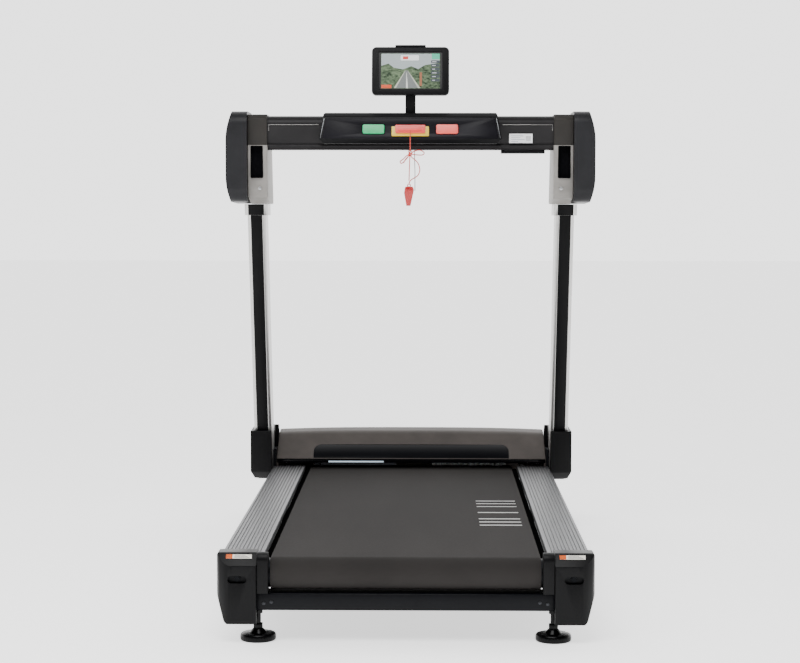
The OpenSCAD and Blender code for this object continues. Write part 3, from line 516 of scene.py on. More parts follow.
def lathe(name, profile, centre, sides=64):
    """Spins an (r, z) profile round a vertical axis through centre."""
    deselect()
    bpy.ops.mesh.primitive_circle_add(vertices=len(profile), radius=1, fill_type="NOTHING",
                                      location=(0, 0, 0))
    piece = rename(bpy.context.object, name)
    for vertex, (r, z) in zip(piece.data.vertices, profile):
        vertex.co = Vector((centre[0] + r, centre[1], centre[2] + z))
    edit_mesh(lambda: bpy.ops.mesh.spin(steps=sides, angle=math.tau, center=centre, axis=(0, 0, 1)),
              lambda: bpy.ops.mesh.remove_doubles(threshold=0.02 * MM),
              bpy.ops.mesh.delete_loose, face_outward)
    return piece


def apply_modifier(piece, kind, **settings):
    activate(piece)
    modifier = piece.modifiers.new("shape", kind)
    for key, value in settings.items():
        setattr(modifier, key, value)
    bpy.ops.object.modifier_apply(modifier=modifier.name)
    return piece


def cut(piece, *tools):
    """Takes each tool's volume out of a piece, and deletes the tools."""
    for tool in tools:
        apply_modifier(piece, "BOOLEAN", operation="DIFFERENCE", object=tool, solver="EXACT")
        bpy.data.objects.remove(tool)
    return piece


def keep_inside(piece, tool):
    apply_modifier(piece, "BOOLEAN", operation="INTERSECT", object=tool, solver="EXACT")
    bpy.data.objects.remove(tool)
    return piece


def soften(piece, width, segments=3, limit=35):
    """Rounds a piece's sharp edges and smooths its shading."""
    apply_modifier(piece, "BEVEL", width=width, segments=segments, limit_method="ANGLE",
                   angle_limit=math.radians(limit), harden_normals=False, use_clamp_overlap=True)
    return smooth(piece)


def smooth(piece, limit=32):
    activate(piece)
    bpy.ops.object.shade_smooth_by_angle(angle=math.radians(limit))
    return piece


def mirrored(piece, name):
    """A copy of a piece on the other side of the machine, with its own mesh."""
    twin = piece.copy()
    twin.data = piece.data.copy()
    rename(twin, name)
    bpy.context.scene.collection.objects.link(twin)
    twin.data.transform(Matrix.Scale(-1, 4, (1, 0, 0)))
    activate(twin)
    edit_mesh(bpy.ops.mesh.flip_normals)
    return twin


def merged(name, pieces):
    """Joins several objects into one piece."""
    activate(*pieces)
    if len(pieces) > 1:
        bpy.ops.object.join()
    return rename(pieces[0], name)


def finish_piece(piece, body, material=None, nodes=()):
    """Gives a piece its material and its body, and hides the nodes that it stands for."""
    if material:
        piece.data.materials.clear()
        piece.data.materials.append(material)
    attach(piece, body)
    if nodes:
        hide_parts(*nodes)
    return piece


def in_frame(piece, matrix):
    """Moves a piece's mesh from a local frame to the machine's."""
    piece.data.transform(matrix)
    piece.data.update()
    return piece


def face_frame():
    """The console's slanted face: local Y runs into it and local Z up along it."""
    inward = JOINTS["start_press"]["axis"]
    tilt = math.atan2(-inward[2], inward[1])
    low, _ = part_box("console_housing")
    return Matrix.Translation((0, low[1], low[2] + 11 * MM)) @ Matrix.Rotation(-tilt, 4, "X")


def holder_frame():
    """The tablet holder: local Z runs up the tablet and local Y away from the user."""
    up = Vector(JOINTS["clamp_lift"]["axis"])
    tilt = math.atan2(up.y, up.z)
    turn = Matrix.Rotation(-tilt, 4, "X")
    pivot = Vector(JOINTS["holder_tilt"]["pos_m"])
    return Matrix.Translation(pivot - turn @ Vector((0, 28 * MM, 45 * MM))) @ turn


def upright_frame():
    """The right upright's axis, which rises along local Z from the upright's foot."""
    low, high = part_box("upright_right")
    lean = sizes().upright_lean
    depth = 90 * MM
    foot_y = high[1] - depth / 2 * math.cos(lean)
    foot_z = low[2] + depth / 2 * math.sin(lean)
    return Matrix.Translation(((low[0] + high[0]) / 2, foot_y, foot_z)) @ Matrix.Rotation(lean, 4, "X")


def smooth_route(points, steps=3):
    """More points on a smooth curve through the ones given."""
    route = [Vector(p) for p in points]
    out = []
    for i in range(len(route) - 1):
        a, b = route[max(i - 1, 0)], route[i]
        c, d = route[i + 1], route[min(i + 2, len(route) - 1)]
        for k in range(steps):
            f = k / steps
            out.append(0.5 * (2 * b + (c - a) * f + (2 * a - 5 * b + 4 * c - d) * f ** 2
                              + (3 * b - a - 3 * c + d) * f ** 3))
    return out + [route[-1]]


def cord_curve(name, points, diameter):
    """A round cord along a smooth curve through the points."""
    data = bpy.data.curves.new(name, "CURVE")
    data.dimensions = "3D"
    data.bevel_depth = diameter / 2
    data.bevel_resolution = 4
    data.use_fill_caps = True
    route = smooth_route(points, 4)
    spline = data.splines.new("POLY")
    spline.points.add(len(route) - 1)
    for target, p in zip(spline.points, route):
        target.co = (*p, 1)
    piece = bpy.data.objects.new(name, data)
    bpy.context.scene.collection.objects.link(piece)
    return piece


def as_mesh(piece):
    activate(piece)
    bpy.ops.object.convert(target="MESH")
    return bpy.context.object


# ---- the stage and the cords ----


class TREADMILL_OT_stage(bpy.types.Operator):
    """Sets up the camera, the floor and the studio lights"""

    bl_idname = "treadmill.stage"
    bl_label = "Stage"

    def area_light(self, name, place, target, size, power):
        data = bpy.data.lights.new(name, "AREA")
        data.shape, data.size, data.energy = "SQUARE", size, power
        lamp = bpy.data.objects.new(name, data)
        lamp.location = place
        lamp.rotation_euler = (Vector(target) - Vector(place)).to_track_quat("-Z", "Y").to_euler()
        bpy.context.scene.collection.objects.link(lamp)

    def execute(self, context):
        scene = context.scene
        data = bpy.data.cameras.new("camera")
        data.lens, data.sensor_width, data.clip_end = sizes().lens, 36, 60
        camera = bpy.data.objects.new("camera", data)
        camera.location = (0.043, -5.049, 0.909)
        camera.rotation_euler = (math.radians(90 - 3.53), math.radians(-0.05), math.radians(0.77))
        scene.collection.objects.link(camera)
        scene.camera = camera

        deselect()
        bpy.ops.mesh.primitive_plane_add(size=60, location=(0, 0, 0))
        floor = bpy.context.object
        floor.name = "floor"
        paper, shader, _ = start_material("studio_paper")
        fibres = noise(paper, 400)
        tint = blend_colours(paper, fibres, linear("#f4f4f4"), linear("#f7f7f7"))
        join(paper, tint, "Color", shader, "Base Color")
        shader.inputs["Emission Color"].default_value = (1, 1, 1, 1)
        shader.inputs["Emission Strength"].default_value = 1.3
        shader.inputs["Roughness"].default_value = 0.9
        floor.data.materials.append(paper)

        # a studio with a bright white backdrop behind the machine and a dim room behind the camera
        world = bpy.data.worlds.new("studio")
        world.use_nodes = True
        backdrop = add(world, "ShaderNodeTexCoord")
        split = add(world, "ShaderNodeSeparateXYZ", links={"Vector": (backdrop, "Generated")})
        level = add(world, "ShaderNodeMapRange",
                    {"From Min": -0.1, "From Max": 0.5, "To Min": 0.12, "To Max": 2.6},
                    {"Value": (split, "Y")})
        world.node_tree.nodes["Background"].inputs["Color"].default_value = (1, 1, 1, 1)
        join(world, level, "Result", world.node_tree.nodes["Background"], "Strength")
        scene.world = world
        self.area_light("top_light", (-0.3, -2.1, 3.0), (0, -1.1, 0.2), 1.8, 78)
        self.area_light("key_light", (-2.8, -2.8, 2.6), (0, 0, 0.6), 1.6, 22)
        return {"FINISHED"}


class TREADMILL_OT_cords(bpy.types.Operator):
    """Hangs the red lanyard with its bow and clip, and the thin black tether"""

    bl_idname = "treadmill.cords"
    bl_label = "Lanyard and tether"

    def bow(self):
        """The bow tied in the lanyard: two loops, a knot and two ends."""
        r = sizes().lanyard / 2
        y = LANYARD_ROUTE[5][1] - 2 * r
        knot = Vector((0, y, LANYARD_ROUTE[5][2] + 1 * MM))
        loops = [
            [(0, 0, 0), (12, 0, 7), (26, -1, 9), (36, -1, 3), (32, 0, -3), (18, 0, -3), (2, 0, -1)],
            [(0, 0, 0), (-10, 0, -6), (-18, -1, -14), (-26, -1, -20), (-22, 0, -25), (-12, 0, -16),
             (-1, 0, -2)],
            [(0, 0, 0), (-1, 0, -12), (-2, 1, -40), (-3, 2, -70)],
            [(0, 0, 0), (-6, -1, -8), (-13, -2, -16), (-17, -2, -24)],
            [(0, 0, 0), (-4, -1, 6), (-1, -3, 9), (4, -1, 5), (3, 1, -4), (-4, 0, -5), (-3, -2, 3)],
        ]
        parts = []
        for number, loop in enumerate(loops):
            points = [knot + Vector(p) * MM for p in loop]
            parts.append(as_mesh(cord_curve(f"bow_part_{number}", points, 2 * r)))
        return merged("lanyard_bow", parts)

    def clip_half(self, name, node, sign):
        """One moulded half of the clip, rounded, with three grip ribs across its wide end."""
        low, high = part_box(node)
        cx = -3 * MM
        pivot_z = JOINTS["clip_open"]["pos_m"][2]
        pivot_y = JOINTS["clip_open"]["pos_m"][1]
        outline = filleted([(-0.010, 0.018, 0.003), (0.010, 0.018, 0.003), (0.013, 0.010, 0.003),
                            (0.011, 0, 0.004), (0.004, -0.032, 0.002), (-0.007, -0.032, 0.002),
                            (-0.013, 0.002, 0.004)])
        front = [(cx + x, pivot_z + z) for x, z in outline]
        side = [(0.0004, -0.033), (0.0009, -0.004), (0.0045, 0.019), (0.007, 0.019), (0.004, -0.004),
                (0.0026, -0.033)]
        half = prism(name, [(pivot_y + sign * y, pivot_z + z) for y, z in side], "X", cx - 0.02, cx + 0.02)
        half = keep_inside(half, prism("clip_mask", front, "Y", pivot_y - 0.02, pivot_y + 0.02))
        half = soften(half, 0.0006, 2)
        ribs = []
        for k in range(3):
            z = pivot_z + (8 + 3 * k) * MM
            y = pivot_y + sign * (5.2 + 0.35 * (3 * k)) * MM
            ribs.append(smooth(rod("rib", 0.7 * MM, (cx - 7 * MM, y, z), (cx + 7 * MM, y, z), 12)))
        return merged(name, [half] + ribs)

    def execute(self, context):
        red = braided("braided_polyester_red", colours().cord)
        black = braided("braided_polyester_black", "#151516")
        clip_red = soft_touch("polypropylene_red", "#c01f1c", 0.32)

        bow = finish_piece(self.bow(), "key", red)
        front = self.clip_half("lanyard_clip_front", "key_clip", -1)
        pivot = JOINTS["clip_open"]["pos_m"]
        pin = smooth(rod("clip_pin", 1.5 * MM, (pivot[0] - 10 * MM, pivot[1], pivot[2]),
                         (pivot[0] + 10 * MM, pivot[1], pivot[2]), 20))
        deselect()
        bpy.ops.mesh.primitive_torus_add(location=(0, 0, 0), major_radius=3.7 * MM, minor_radius=1.2 * MM,
                                         major_segments=32, minor_segments=12)
        ring = bpy.context.object
        ring.data.transform(Matrix.Translation((pivot[0], pivot[1] - 5.6 * MM, pivot[2] + 21 * MM))
                            @ Matrix.Rotation(math.radians(90), 4, "X"))
        front = merged("lanyard_clip_front", [front, pin, smooth(ring, 60)])
        finish_piece(front, "key", clip_red, ["key_clip"])
        lever = self.clip_half("lanyard_clip_lever", "clip_lever", 1)
        finish_piece(lever, "clip_lever", clip_red, ["clip_lever"])

        lanyard = cord_curve("lanyard", LANYARD_ROUTE, sizes().lanyard)
        finish_piece(lanyard, "key", red, ["key_cord"])

        tether = cord_curve("tether", TETHER_ROUTE, sizes().tether)
        finish_piece(tether, "frame", black, ["key_tether"])
        return {"FINISHED"}


# ---- the deck ----


class TREADMILL_OT_belt(bpy.types.Operator):
    """Makes the running belt and the white bars printed on it"""

    bl_idname = "treadmill.belt"
    bl_label = "Running belt"

    def loop(self, y0, y1, z, r, steps):
        return arc(y0, z, r, 270, 90, steps) + arc(y1, z, r, 90, -90, steps)

    def execute(self, context):
        low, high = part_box("running_belt")
        thick = 3 * MM
        r = (high[2] - low[2]) / 2
        z = (high[2] + low[2]) / 2
        y0, y1 = low[1] + r, high[1] - r
        belt = prism("running_belt_cover", self.loop(y0, y1, z, r, 32), "X", low[0], high[0])
        belt = cut(belt, prism("inside", self.loop(y0, y1, z, r - thick, 32), "X", low[0] - CLEAR,
                               high[0] + CLEAR))
        belt = soften(belt, 0.7 * MM, 2, 60)
        finish_piece(belt, "frame", belt_cover("pvc_belt", colours().belt), ["running_belt"])

        # seven printed bars in groups of three, one and three, wider apart nearer the user
        ink = printed("white_belt_ink", "#d9d9d8", 0.6)
        bars = []
        group_y = [-97, -142, -190, -286, -384, -431, -478]
        for number, y in enumerate(group_y):
            depth = (7 if number < 3 else 9) * MM
            bars.append(block("bar", (0.168, y * MM - depth / 2, high[2] - 0.2 * MM),
                              (0.266, y * MM + depth / 2, high[2] + 0.35 * MM)))
        finish_piece(merged("belt_bars", bars), "frame", ink)
        return {"FINISHED"}


class TREADMILL_OT_foot_rails(bpy.types.Operator):
    """Makes the two ribbed aluminium foot rails"""

    bl_idname = "treadmill.foot_rails"
    bl_label = "Foot rails"

    def section(self, low, high):
        """The rail's outline across its length, with grooves in its top and a lip over the belt's edge."""
        x0, x1, z0, z1 = low[0], high[0], low[2], high[2]
        groove, depth = sizes().rail_groove, sizes().rail_groove_depth
        wide = [3, 6]
        count = 10
        pitch = (x1 - x0 - 10 * MM) / count
        points = [(x0, z1 - 1 * MM), (x0, z0 + 9 * MM), (x0 + 6 * MM, z0 + 9 * MM), (x0 + 6 * MM, z0),
                  (x1 - 2 * MM, z0), (x1, z0 + 2 * MM), (x1, z1 - 2.5 * MM), (x1 - 2.5 * MM, z1)]
        for i in reversed(range(count)):
            centre = x0 + 5 * MM + (i + 0.5) * pitch
            half = groove / 2 * (1.5 if i in wide else 1)
            points += [(centre + half, z1), (centre + half * 0.7, z1 - depth),
                       (centre - half * 0.7, z1 - depth),
                       (centre - half, z1)]
        return points + [(x0 + 1 * MM, z1)]

    def execute(self, context):
        low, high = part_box("foot_rail_right")
        rail = prism("foot_rail_extrusion_right", self.section(low, high), "Y", low[1], high[1])
        rail = soften(rail, 0.35 * MM, 1, 20)
        # the front end runs on under the hood, inside its side walls
        hood_low, hood_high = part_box("motor_hood")
        rail = cut(rail, block("tuck", (hood_high[0] - 5.3 * MM, hood_low[1] - 2 * MM, low[2] - MM),
                               (high[0] + MM, high[1] + MM, high[2] + MM)),
                   block("pulley_room", (low[0] - MM, hood_low[1] + 18 * MM, low[2] - MM),
                         (low[0] + 16 * MM, high[1] + MM, high[2] + MM)))
        finish = anodised("anodised_aluminium_rail", colours().rail, (1, 0.006, 1), 0.42)
        twin = mirrored(rail, "foot_rail_extrusion_left")
        finish_piece(rail, "frame", finish, ["foot_rail_right"])
        finish_piece(twin, "frame", finish, ["foot_rail_left"])
        return {"FINISHED"}


class TREADMILL_OT_rear_caps(bpy.types.Operator):
    """Makes the moulded rear caps with their tension slots, stickers, and the roller guards"""

    bl_idname = "treadmill.rear_caps"
    bl_label = "Rear caps"
    crown_run = 24 * MM
    crown_drop = 26 * MM

    def cap(self):
        low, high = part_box("rear_cap_right")
        wall = 4 * MM
        side = filleted([(low[1], low[2], 4 * MM), (high[1], low[2], 1 * MM), (high[1], high[2], 3 * MM),
                         (low[1] + self.crown_run, high[2], 10 * MM),
                         (low[1], high[2] - self.crown_drop, 4 * MM)], 6)
        cap = prism("rear_cap_cover_right", side, "X", low[0], high[0])
        front = filleted([(low[0], low[2] - 0.001, 0), (high[0] - 18 * MM, low[2] - 0.001, 14 * MM),
                          (high[0], high[2] - 86 * MM, 20 * MM), (high[0], high[2] + 0.001, 9 * MM),
                          (low[0], high[2] + 0.001, 0)], 8)
        cap = keep_inside(cap, prism("mask", front, "Y", low[1] - CLEAR, high[1] + CLEAR))
        plan = filleted([(low[0], low[1], 3 * MM), (high[0] - 24 * MM, low[1], 34 * MM),
                         (high[0], low[1] + 20 * MM, 26 * MM), (high[0], high[1] + MM, 0),
                         (low[0], high[1] + MM, 0)], 10)
        cap = keep_inside(cap, prism("plan", plan, "Z", low[2] - CLEAR, high[2] + CLEAR))
        rail_low, rail_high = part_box("foot_rail_right")
        beam_low, beam_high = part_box("rear_beam")
        hollow = prism("hollow", [(low[0] + wall, low[1] + wall), (high[0] - 26 * MM, low[1] + wall),
                                  (high[0] - 5 * MM, low[1] + 23 * MM), (high[0] - 5 * MM, high[1] + CLEAR),
                                  (low[0] + wall, high[1] + CLEAR)], "Z", low[2] - CLEAR, rail_low[2])
        hollow = keep_inside(hollow, prism("hollow_front", [
            (low[0], low[2] - 0.02), (high[0] - 24 * MM, low[2] - 0.02),
            (high[0] - 5 * MM, high[2] - 84 * MM),
            (high[0] - 5 * MM, rail_low[2]), (low[0], rail_low[2])], "Y", low[1], high[1] + 0.02))
        notch = block("notch", (low[0] - CLEAR, beam_low[1] - MM, low[2] - CLEAR),
                      (low[0] + wall + MM, high[1] + CLEAR, beam_high[2] + MM))
        axle = block("axle_gap", (low[0] - CLEAR, beam_low[1] + 25 * MM, beam_low[2]),
                     (low[0] + wall + MM, high[1] + CLEAR, 155 * MM))
        rail = block("rail_gap", (low[0] - 0.02, rail_low[1] - 0.5 * MM, rail_low[2] - MM),
                     (rail_high[0] + 0.3 * MM, high[1] + CLEAR, rail_high[2]))
        bolt_low, bolt_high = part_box("tension_bolts")
        bolt_z = (bolt_low[2] + bolt_high[2]) / 2
        slot = plate("slot", (40, 16, 7.9), (353 * MM, bolt_z), "Y", low[1] - CLEAR, low[1] + 2 * wall, 10)
        cap = cut(cap, hollow, notch, axle, rail, slot)
        return soften(cap, 1.2 * MM, 3, 40)

    def sticker(self, name, x, width, depth):
        """A small plain sticker on the cap's sloping crown: a white field, an orange band and grey bars."""
        low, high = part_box("rear_cap_right")
        foot = (0, low[1] + self.crown_run * 0.7, high[2] - self.crown_drop * 0.3)
        slope = Matrix.Rotation(math.atan2(self.crown_drop, self.crown_run), 4, "X")
        half, film = depth / 2, 0.3 * MM
        white = block("field", (x - width / 2, -half, 0), (x + width / 2, half, film))
        white.data.materials.append(printed("sticker_white", "#fbf6ea", 0.4))
        band = block("band", (x - width / 2, -half, film), (x - width / 4, half, film + 0.15 * MM))
        band.data.materials.append(printed("sticker_orange", "#e0662c", 0.4))
        parts = [white, band]
        for k in range(3):
            y0 = -half + depth * (0.2 + 0.27 * k)
            bar = block("bar", (x - width / 6, y0, film),
                        (x + width * (0.42 - 0.08 * k), y0 + depth * 0.1, film + 0.12 * MM))
            bar.data.materials.append(printed("sticker_grey", "#77787a", 0.5))
            parts.append(bar)
        return in_frame(merged(name, parts), Matrix.Translation(foot) @ slope)

    def execute(self, context):
        plastic = moulded("abs_cap", colours().casing, 0.36)
        cap = self.cap()
        finish_piece(mirrored(cap, "rear_cap_cover_left"), "frame", plastic, ["rear_cap_left"])
        finish_piece(cap, "frame", plastic, ["rear_cap_right"])
        for side in (LEFT, RIGHT):
            sticker = self.sticker(f"cap_sticker_{SIDE_NAME[side]}", side * 350 * MM, 54 * MM, 10 * MM)
            finish_piece(sticker, "frame")

        low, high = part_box("roller_guards")
        beam_low, beam_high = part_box("rear_beam")
        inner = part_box("running_belt")[1][0] + 3.5 * MM
        top = high[2]
        y0 = low[1]
        side = (arc(y0 + 18 * MM, top - 18 * MM, 18 * MM, 0, 180, 16)
                + [(y0, beam_high[2] + 0.3 * MM), (y0 + 36 * MM, beam_high[2] + 0.3 * MM)])
        guard = prism("roller_guard_right", side, "X", inner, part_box("rear_cap_right")[0][0] - 0.4 * MM)
        guard = soften(guard, 1.2 * MM, 3, 40)
        twin = mirrored(guard, "roller_guard_left")
        finish_piece(merged("roller_guard_pair", [guard, twin]), "frame", plastic, ["roller_guards"])
        return {"FINISHED"}


class TREADMILL_OT_base(bpy.types.Operator):
    """Makes the rear beam and the levelling feet"""

    bl_idname = "treadmill.base"
    bl_label = "Rear beam and feet"

    def foot(self, side):
        """A levelling foot: a glossy pad with a raised cone, a sleeve, a lock nut and a stud."""
        name = f"levelling_foot_{SIDE_NAME[side]}"
        low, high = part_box(name)
        centre = ((low[0] + high[0]) / 2, (low[1] + high[1]) / 2, 0)
        r = (high[0] - low[0]) / 2
        beam_low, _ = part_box("rear_beam")
        profile = [(0, 0), (r - 3 * MM, 0), (r - 1 * MM, 1 * MM), (r, 3 * MM), (r, 11 * MM),
                   (r - 0.8 * MM, 13.6 * MM),
                   (r - 2.6 * MM, 15.3 * MM), (r - 5.5 * MM, 16 * MM), (22 * MM, 16 * MM),
                   (18 * MM, 16.6 * MM),
                   (12 * MM, 24 * MM), (6 * MM, 24 * MM), (6 * MM, high[2]), (0, high[2])]
        pad = smooth(lathe("pad", profile, centre), 28)
        parts = [pad]
        for z, tall in ((24 * MM, 12 * MM), (beam_low[2] - 10 * MM, 9.4 * MM)):
            nut = hexagon(11 * MM, tall, Matrix.Translation((centre[0], centre[1], z + tall / 2)))
            parts.append(soften(nut, 0.9 * MM, 2))
        # grip flutes round the pad's edge
        flutes = [rod("flute", 1 * MM, Vector(centre) + Vector((math.cos(t), math.sin(t),
                                                                0)) * (r + 0.3 * MM)
                      + Vector((0, 0, 4 * MM)),
                      Vector(centre) + Vector((math.cos(t), math.sin(t), 0)) * (r + 0.3 * MM)
                      + Vector((0, 0, 11 * MM)), 10)
                  for t in [math.tau * k / 40 for k in range(40)]]
        parts[0] = smooth(cut(pad, merged("flutes", flutes)), 28)
        return merged(f"foot_pad_{SIDE_NAME[side]}", parts)

    def execute(self, context):
        gloss = piano_black("polished_nylon", "#020203", 0.25)
        for side in (LEFT, RIGHT):
            finish_piece(self.foot(side), f"foot_{SIDE_NAME[side]}", gloss,
                         [f"levelling_foot_{SIDE_NAME[side]}"])
        low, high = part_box("rear_beam")
        beam = soften(block("rear_beam_tube", low, high), sizes().tube_radius, 3)
        screws = []
        for side in (LEFT, RIGHT):
            for x, dz in ((282 * MM, 0), (298 * MM, -3 * MM)):
                z = (low[2] + high[2]) / 2 + dz
                head = rod("head", 3.6 * MM, (side * x, low[1] - 1.6 * MM, z),
                           (side * x, low[1] + 2 * MM, z), 24)
                screws.append(soften(head, 0.7 * MM, 2))
        finish_piece(beam, "frame", powder_coat("powder_coat_beam", colours().beam, 0.34), ["rear_beam"])
        finish_piece(merged("beam_screws", screws), "frame", machined_steel("black_zinc", "#3c3d40", 0.4))
        return {"FINISHED"}


# ---- the front end ----


class TREADMILL_OT_hood(bpy.types.Operator):
    """Makes the crowned motor hood, its dark inset panel and the glowing strip under it that paints a thin
    line of light
    """

    bl_idname = "treadmill.hood"
    bl_label = "Motor hood"

    # heights of the rear lip's two edges over the foot rails, and the slope's run
    lip_low = 9 * MM
    lip_high = 21.6 * MM
    run = 79 * MM

    def outline(self, wall=0.0):
        low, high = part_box("motor_hood")
        lip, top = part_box("foot_rail_right")[1][2] + self.lip_high, high[2] - wall
        y0, y1 = low[1] + wall, high[1] - wall
        tube_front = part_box("side_tubes")[1][1] + 6 * MM
        knee = 161 * MM
        return filleted([
            (y0, knee, 0), (y0, lip - wall, 2.5 * MM), (y0 + self.run, top - 7 * MM, 40 * MM),
            (y0 + self.run + 40 * MM, top, 60 * MM), (y1 - 180 * MM, top - 14 * MM, 200 * MM),
            (y1 - 70 * MM, top - 40 * MM, 90 * MM), (y1 - 20 * MM, top - 68 * MM, 40 * MM),
            (y1, top - 100 * MM, 50 * MM), (y1, low[2], 6 * MM), (tube_front, low[2], 0),
            (tube_front, knee, 0)], 8)

    def crown(self, piece, half):
        """Pulls the top in toward its sides and lets it fall away there."""
        low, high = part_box("motor_hood")
        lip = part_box("foot_rail_right")[1][2] + self.lip_high
        for vertex in piece.data.vertices:
            rise = min(max((vertex.co.z - lip) / (high[2] - lip), 0), 1)
            vertex.co.z -= sizes().hood_crown * (abs(vertex.co.x) / half) ** 3 * rise
            vertex.co.x *= 1 - 3 * MM * rise / half

    def slices(self, piece, half):
        """Adds cuts across the hood so that its crown is a smooth curve."""
        activate(piece)
        edit_mesh(*[lambda x=half * k / 10: bpy.ops.mesh.bisect(plane_co=(x, 0, 0), plane_no=(1, 0, 0))
                    for k in range(-9, 10)])

    def inset_outline(self, grow, width=554 * MM, height=53 * MM, r=24 * MM):
        w = width / 2 + grow
        top = height + grow
        return filleted([(-w, MM, MM), (w, MM, MM), (w, top, r), (-w, top, r)], 10)

    def execute(self, context):
        low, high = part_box("motor_hood")
        half = high[0]
        wall = 5 * MM
        hood = prism("hood_cover", self.outline(), "X", -half, half)
        self.slices(hood, half)
        self.crown(hood, half)
        hood = soften(hood, sizes().casing_radius, 4, 50)
        inner = prism("inner", self.outline(wall), "X", -half + wall, half - wall)
        self.slices(inner, half)
        self.crown(inner, half)
        rail_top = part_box("foot_rail_right")[1][2]
        lip, lip_top = rail_top + self.lip_low, rail_top + self.lip_high
        mouth = block("mouth", (-half + wall, low[1] - CLEAR, low[2] - CLEAR),
                      (half - wall, low[1] + 0.05, lip))
        bottom = block("bottom", (-half + wall, low[1] + wall, low[2] - CLEAR),
                       (half - wall, high[1] - wall, 0.19))
        slope = Matrix.Translation((0, low[1], lip_top)) @ Matrix.Rotation(
            -math.atan2(self.run, high[2] - 7 * MM - lip_top), 4, "X")
        step = block("step", (-half - MM, low[1] - MM, lip - MM),
                     (half + MM, low[1] + 1.6 * MM, lip_top - 2 * MM))
        recess = in_frame(prism("recess", self.inset_outline(0.4 * MM), "Y", -0.02, 3 * MM), slope)
        inlet_low, inlet_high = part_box("power_inlet")
        sockets = block("sockets", (inlet_low[0] - 0.3 * MM, high[1] - 2 * wall, inlet_low[2] - 0.3 * MM),
                        (inlet_high[0] + 0.3 * MM, high[1] + CLEAR, inlet_high[2] + 0.3 * MM))
        hood = cut(hood, inner, bottom, mouth, recess, sockets, step)
        hood = smooth(hood, 30)
        finish_piece(hood, "frame", moulded("abs_hood", colours().hood, 0.4, 1.6), ["motor_hood"])

        panel = in_frame(prism("hood_inset_panel", self.inset_outline(0), "Y", 0.6 * MM, 2.7 * MM), slope)
        panel = soften(panel, 0.6 * MM, 2)
        finish_piece(panel, "frame", piano_black("polished_abs_inset", "#020308", 0.3), ["hood_inset"])
        # painted shade: a near-black strip across the lip's full width darkens the upright lip face, which
        # lies in shade
        lip_shade = block("hood_lip_painted_shade", (-half + MM, low[1] + 0.3 * MM, lip),
                         (half - MM, low[1] + 1.5 * MM, lip_top - 2.2 * MM))
        finish_piece(soften(lip_shade, 0.4 * MM, 2), "frame", piano_black("lip_painted_shade_black", "#060609"))
        # painted light: this pale strip glows, standing for the thin line of light seen under the lip
        line = block("hood_painted_light_strip", (-234 * MM, low[1] + 0.05 * MM, lip + 1 * MM),
                     (-78 * MM, low[1] + 0.6 * MM, lip + 5 * MM))
        line = soften(line, 0.2 * MM, 2)
        finish_piece(line, "frame", printed("painted_glow_strip", "#cfe0ee", 0.2, 0.7))
        return {"FINISHED"}


class TREADMILL_OT_boots(bpy.types.Operator):
    """Makes the moulded boots round the uprights' feet"""

    bl_idname = "treadmill.boots"
    bl_label = "Boots"

    def execute(self, context):
        low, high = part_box("boots")
        y0, y1, z0, z1 = low[1], high[1], low[2], high[2]
        side = filleted([(y0, z0 + 20 * MM, 8 * MM), (y0 + 20 * MM, z0, 8 * MM),
                         (y1 - 20 * MM, z0, 10 * MM), (y1, z0 + 20 * MM, 10 * MM),
                         (y1, z1 - 26 * MM, 14 * MM), (y1 - 22 * MM, z1, 14 * MM), (y0, z1, 4 * MM)], 6)
        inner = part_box("side_tubes")[1][0]
        tube_out = 382 * MM
        boot = prism("boot_right", side, "X", tube_out + 0.2 * MM, high[0])
        front = filleted([(tube_out, z0 - CLEAR, 0), (high[0] - 14 * MM, z0 - CLEAR, 6 * MM),
                          (high[0], z0 + 22 * MM, 10 * MM), (high[0], z1 + CLEAR, 0),
                          (tube_out, z1 + CLEAR, 0)], 6)
        boot = keep_inside(boot, prism("mask", front, "Y", y0 - CLEAR, y1 + CLEAR))
        rail_low, rail_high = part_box("foot_rail_right")
        gap = block("rail_gap", (tube_out - CLEAR, y0 - CLEAR, z0 - CLEAR),
                    (rail_high[0] + MM, rail_high[1] + 2 * MM, z1 + CLEAR))
        foot_plate = block("plate_gap", (tube_out - CLEAR, 531 * MM, z0 - CLEAR),
                           (inner + MM, 622 * MM, 233 * MM))
        boot = cut(boot, gap, foot_plate)
        boot = soften(boot, 5 * MM, 5, 50)
        socket = in_frame(plate("socket", (51, 92, 9), (0, 0), "Z", 20 * MM, 300 * MM), upright_frame())
        boot = smooth(cut(boot, socket), 30)
        twin = mirrored(boot, "boot_left")
        plastic = moulded("abs_boot", colours().casing, 0.4)
        finish_piece(merged("boot_pair", [boot, twin]), "frame", plastic, ["boots"])
        return {"FINISHED"}


# ---- the uprights and the head ----


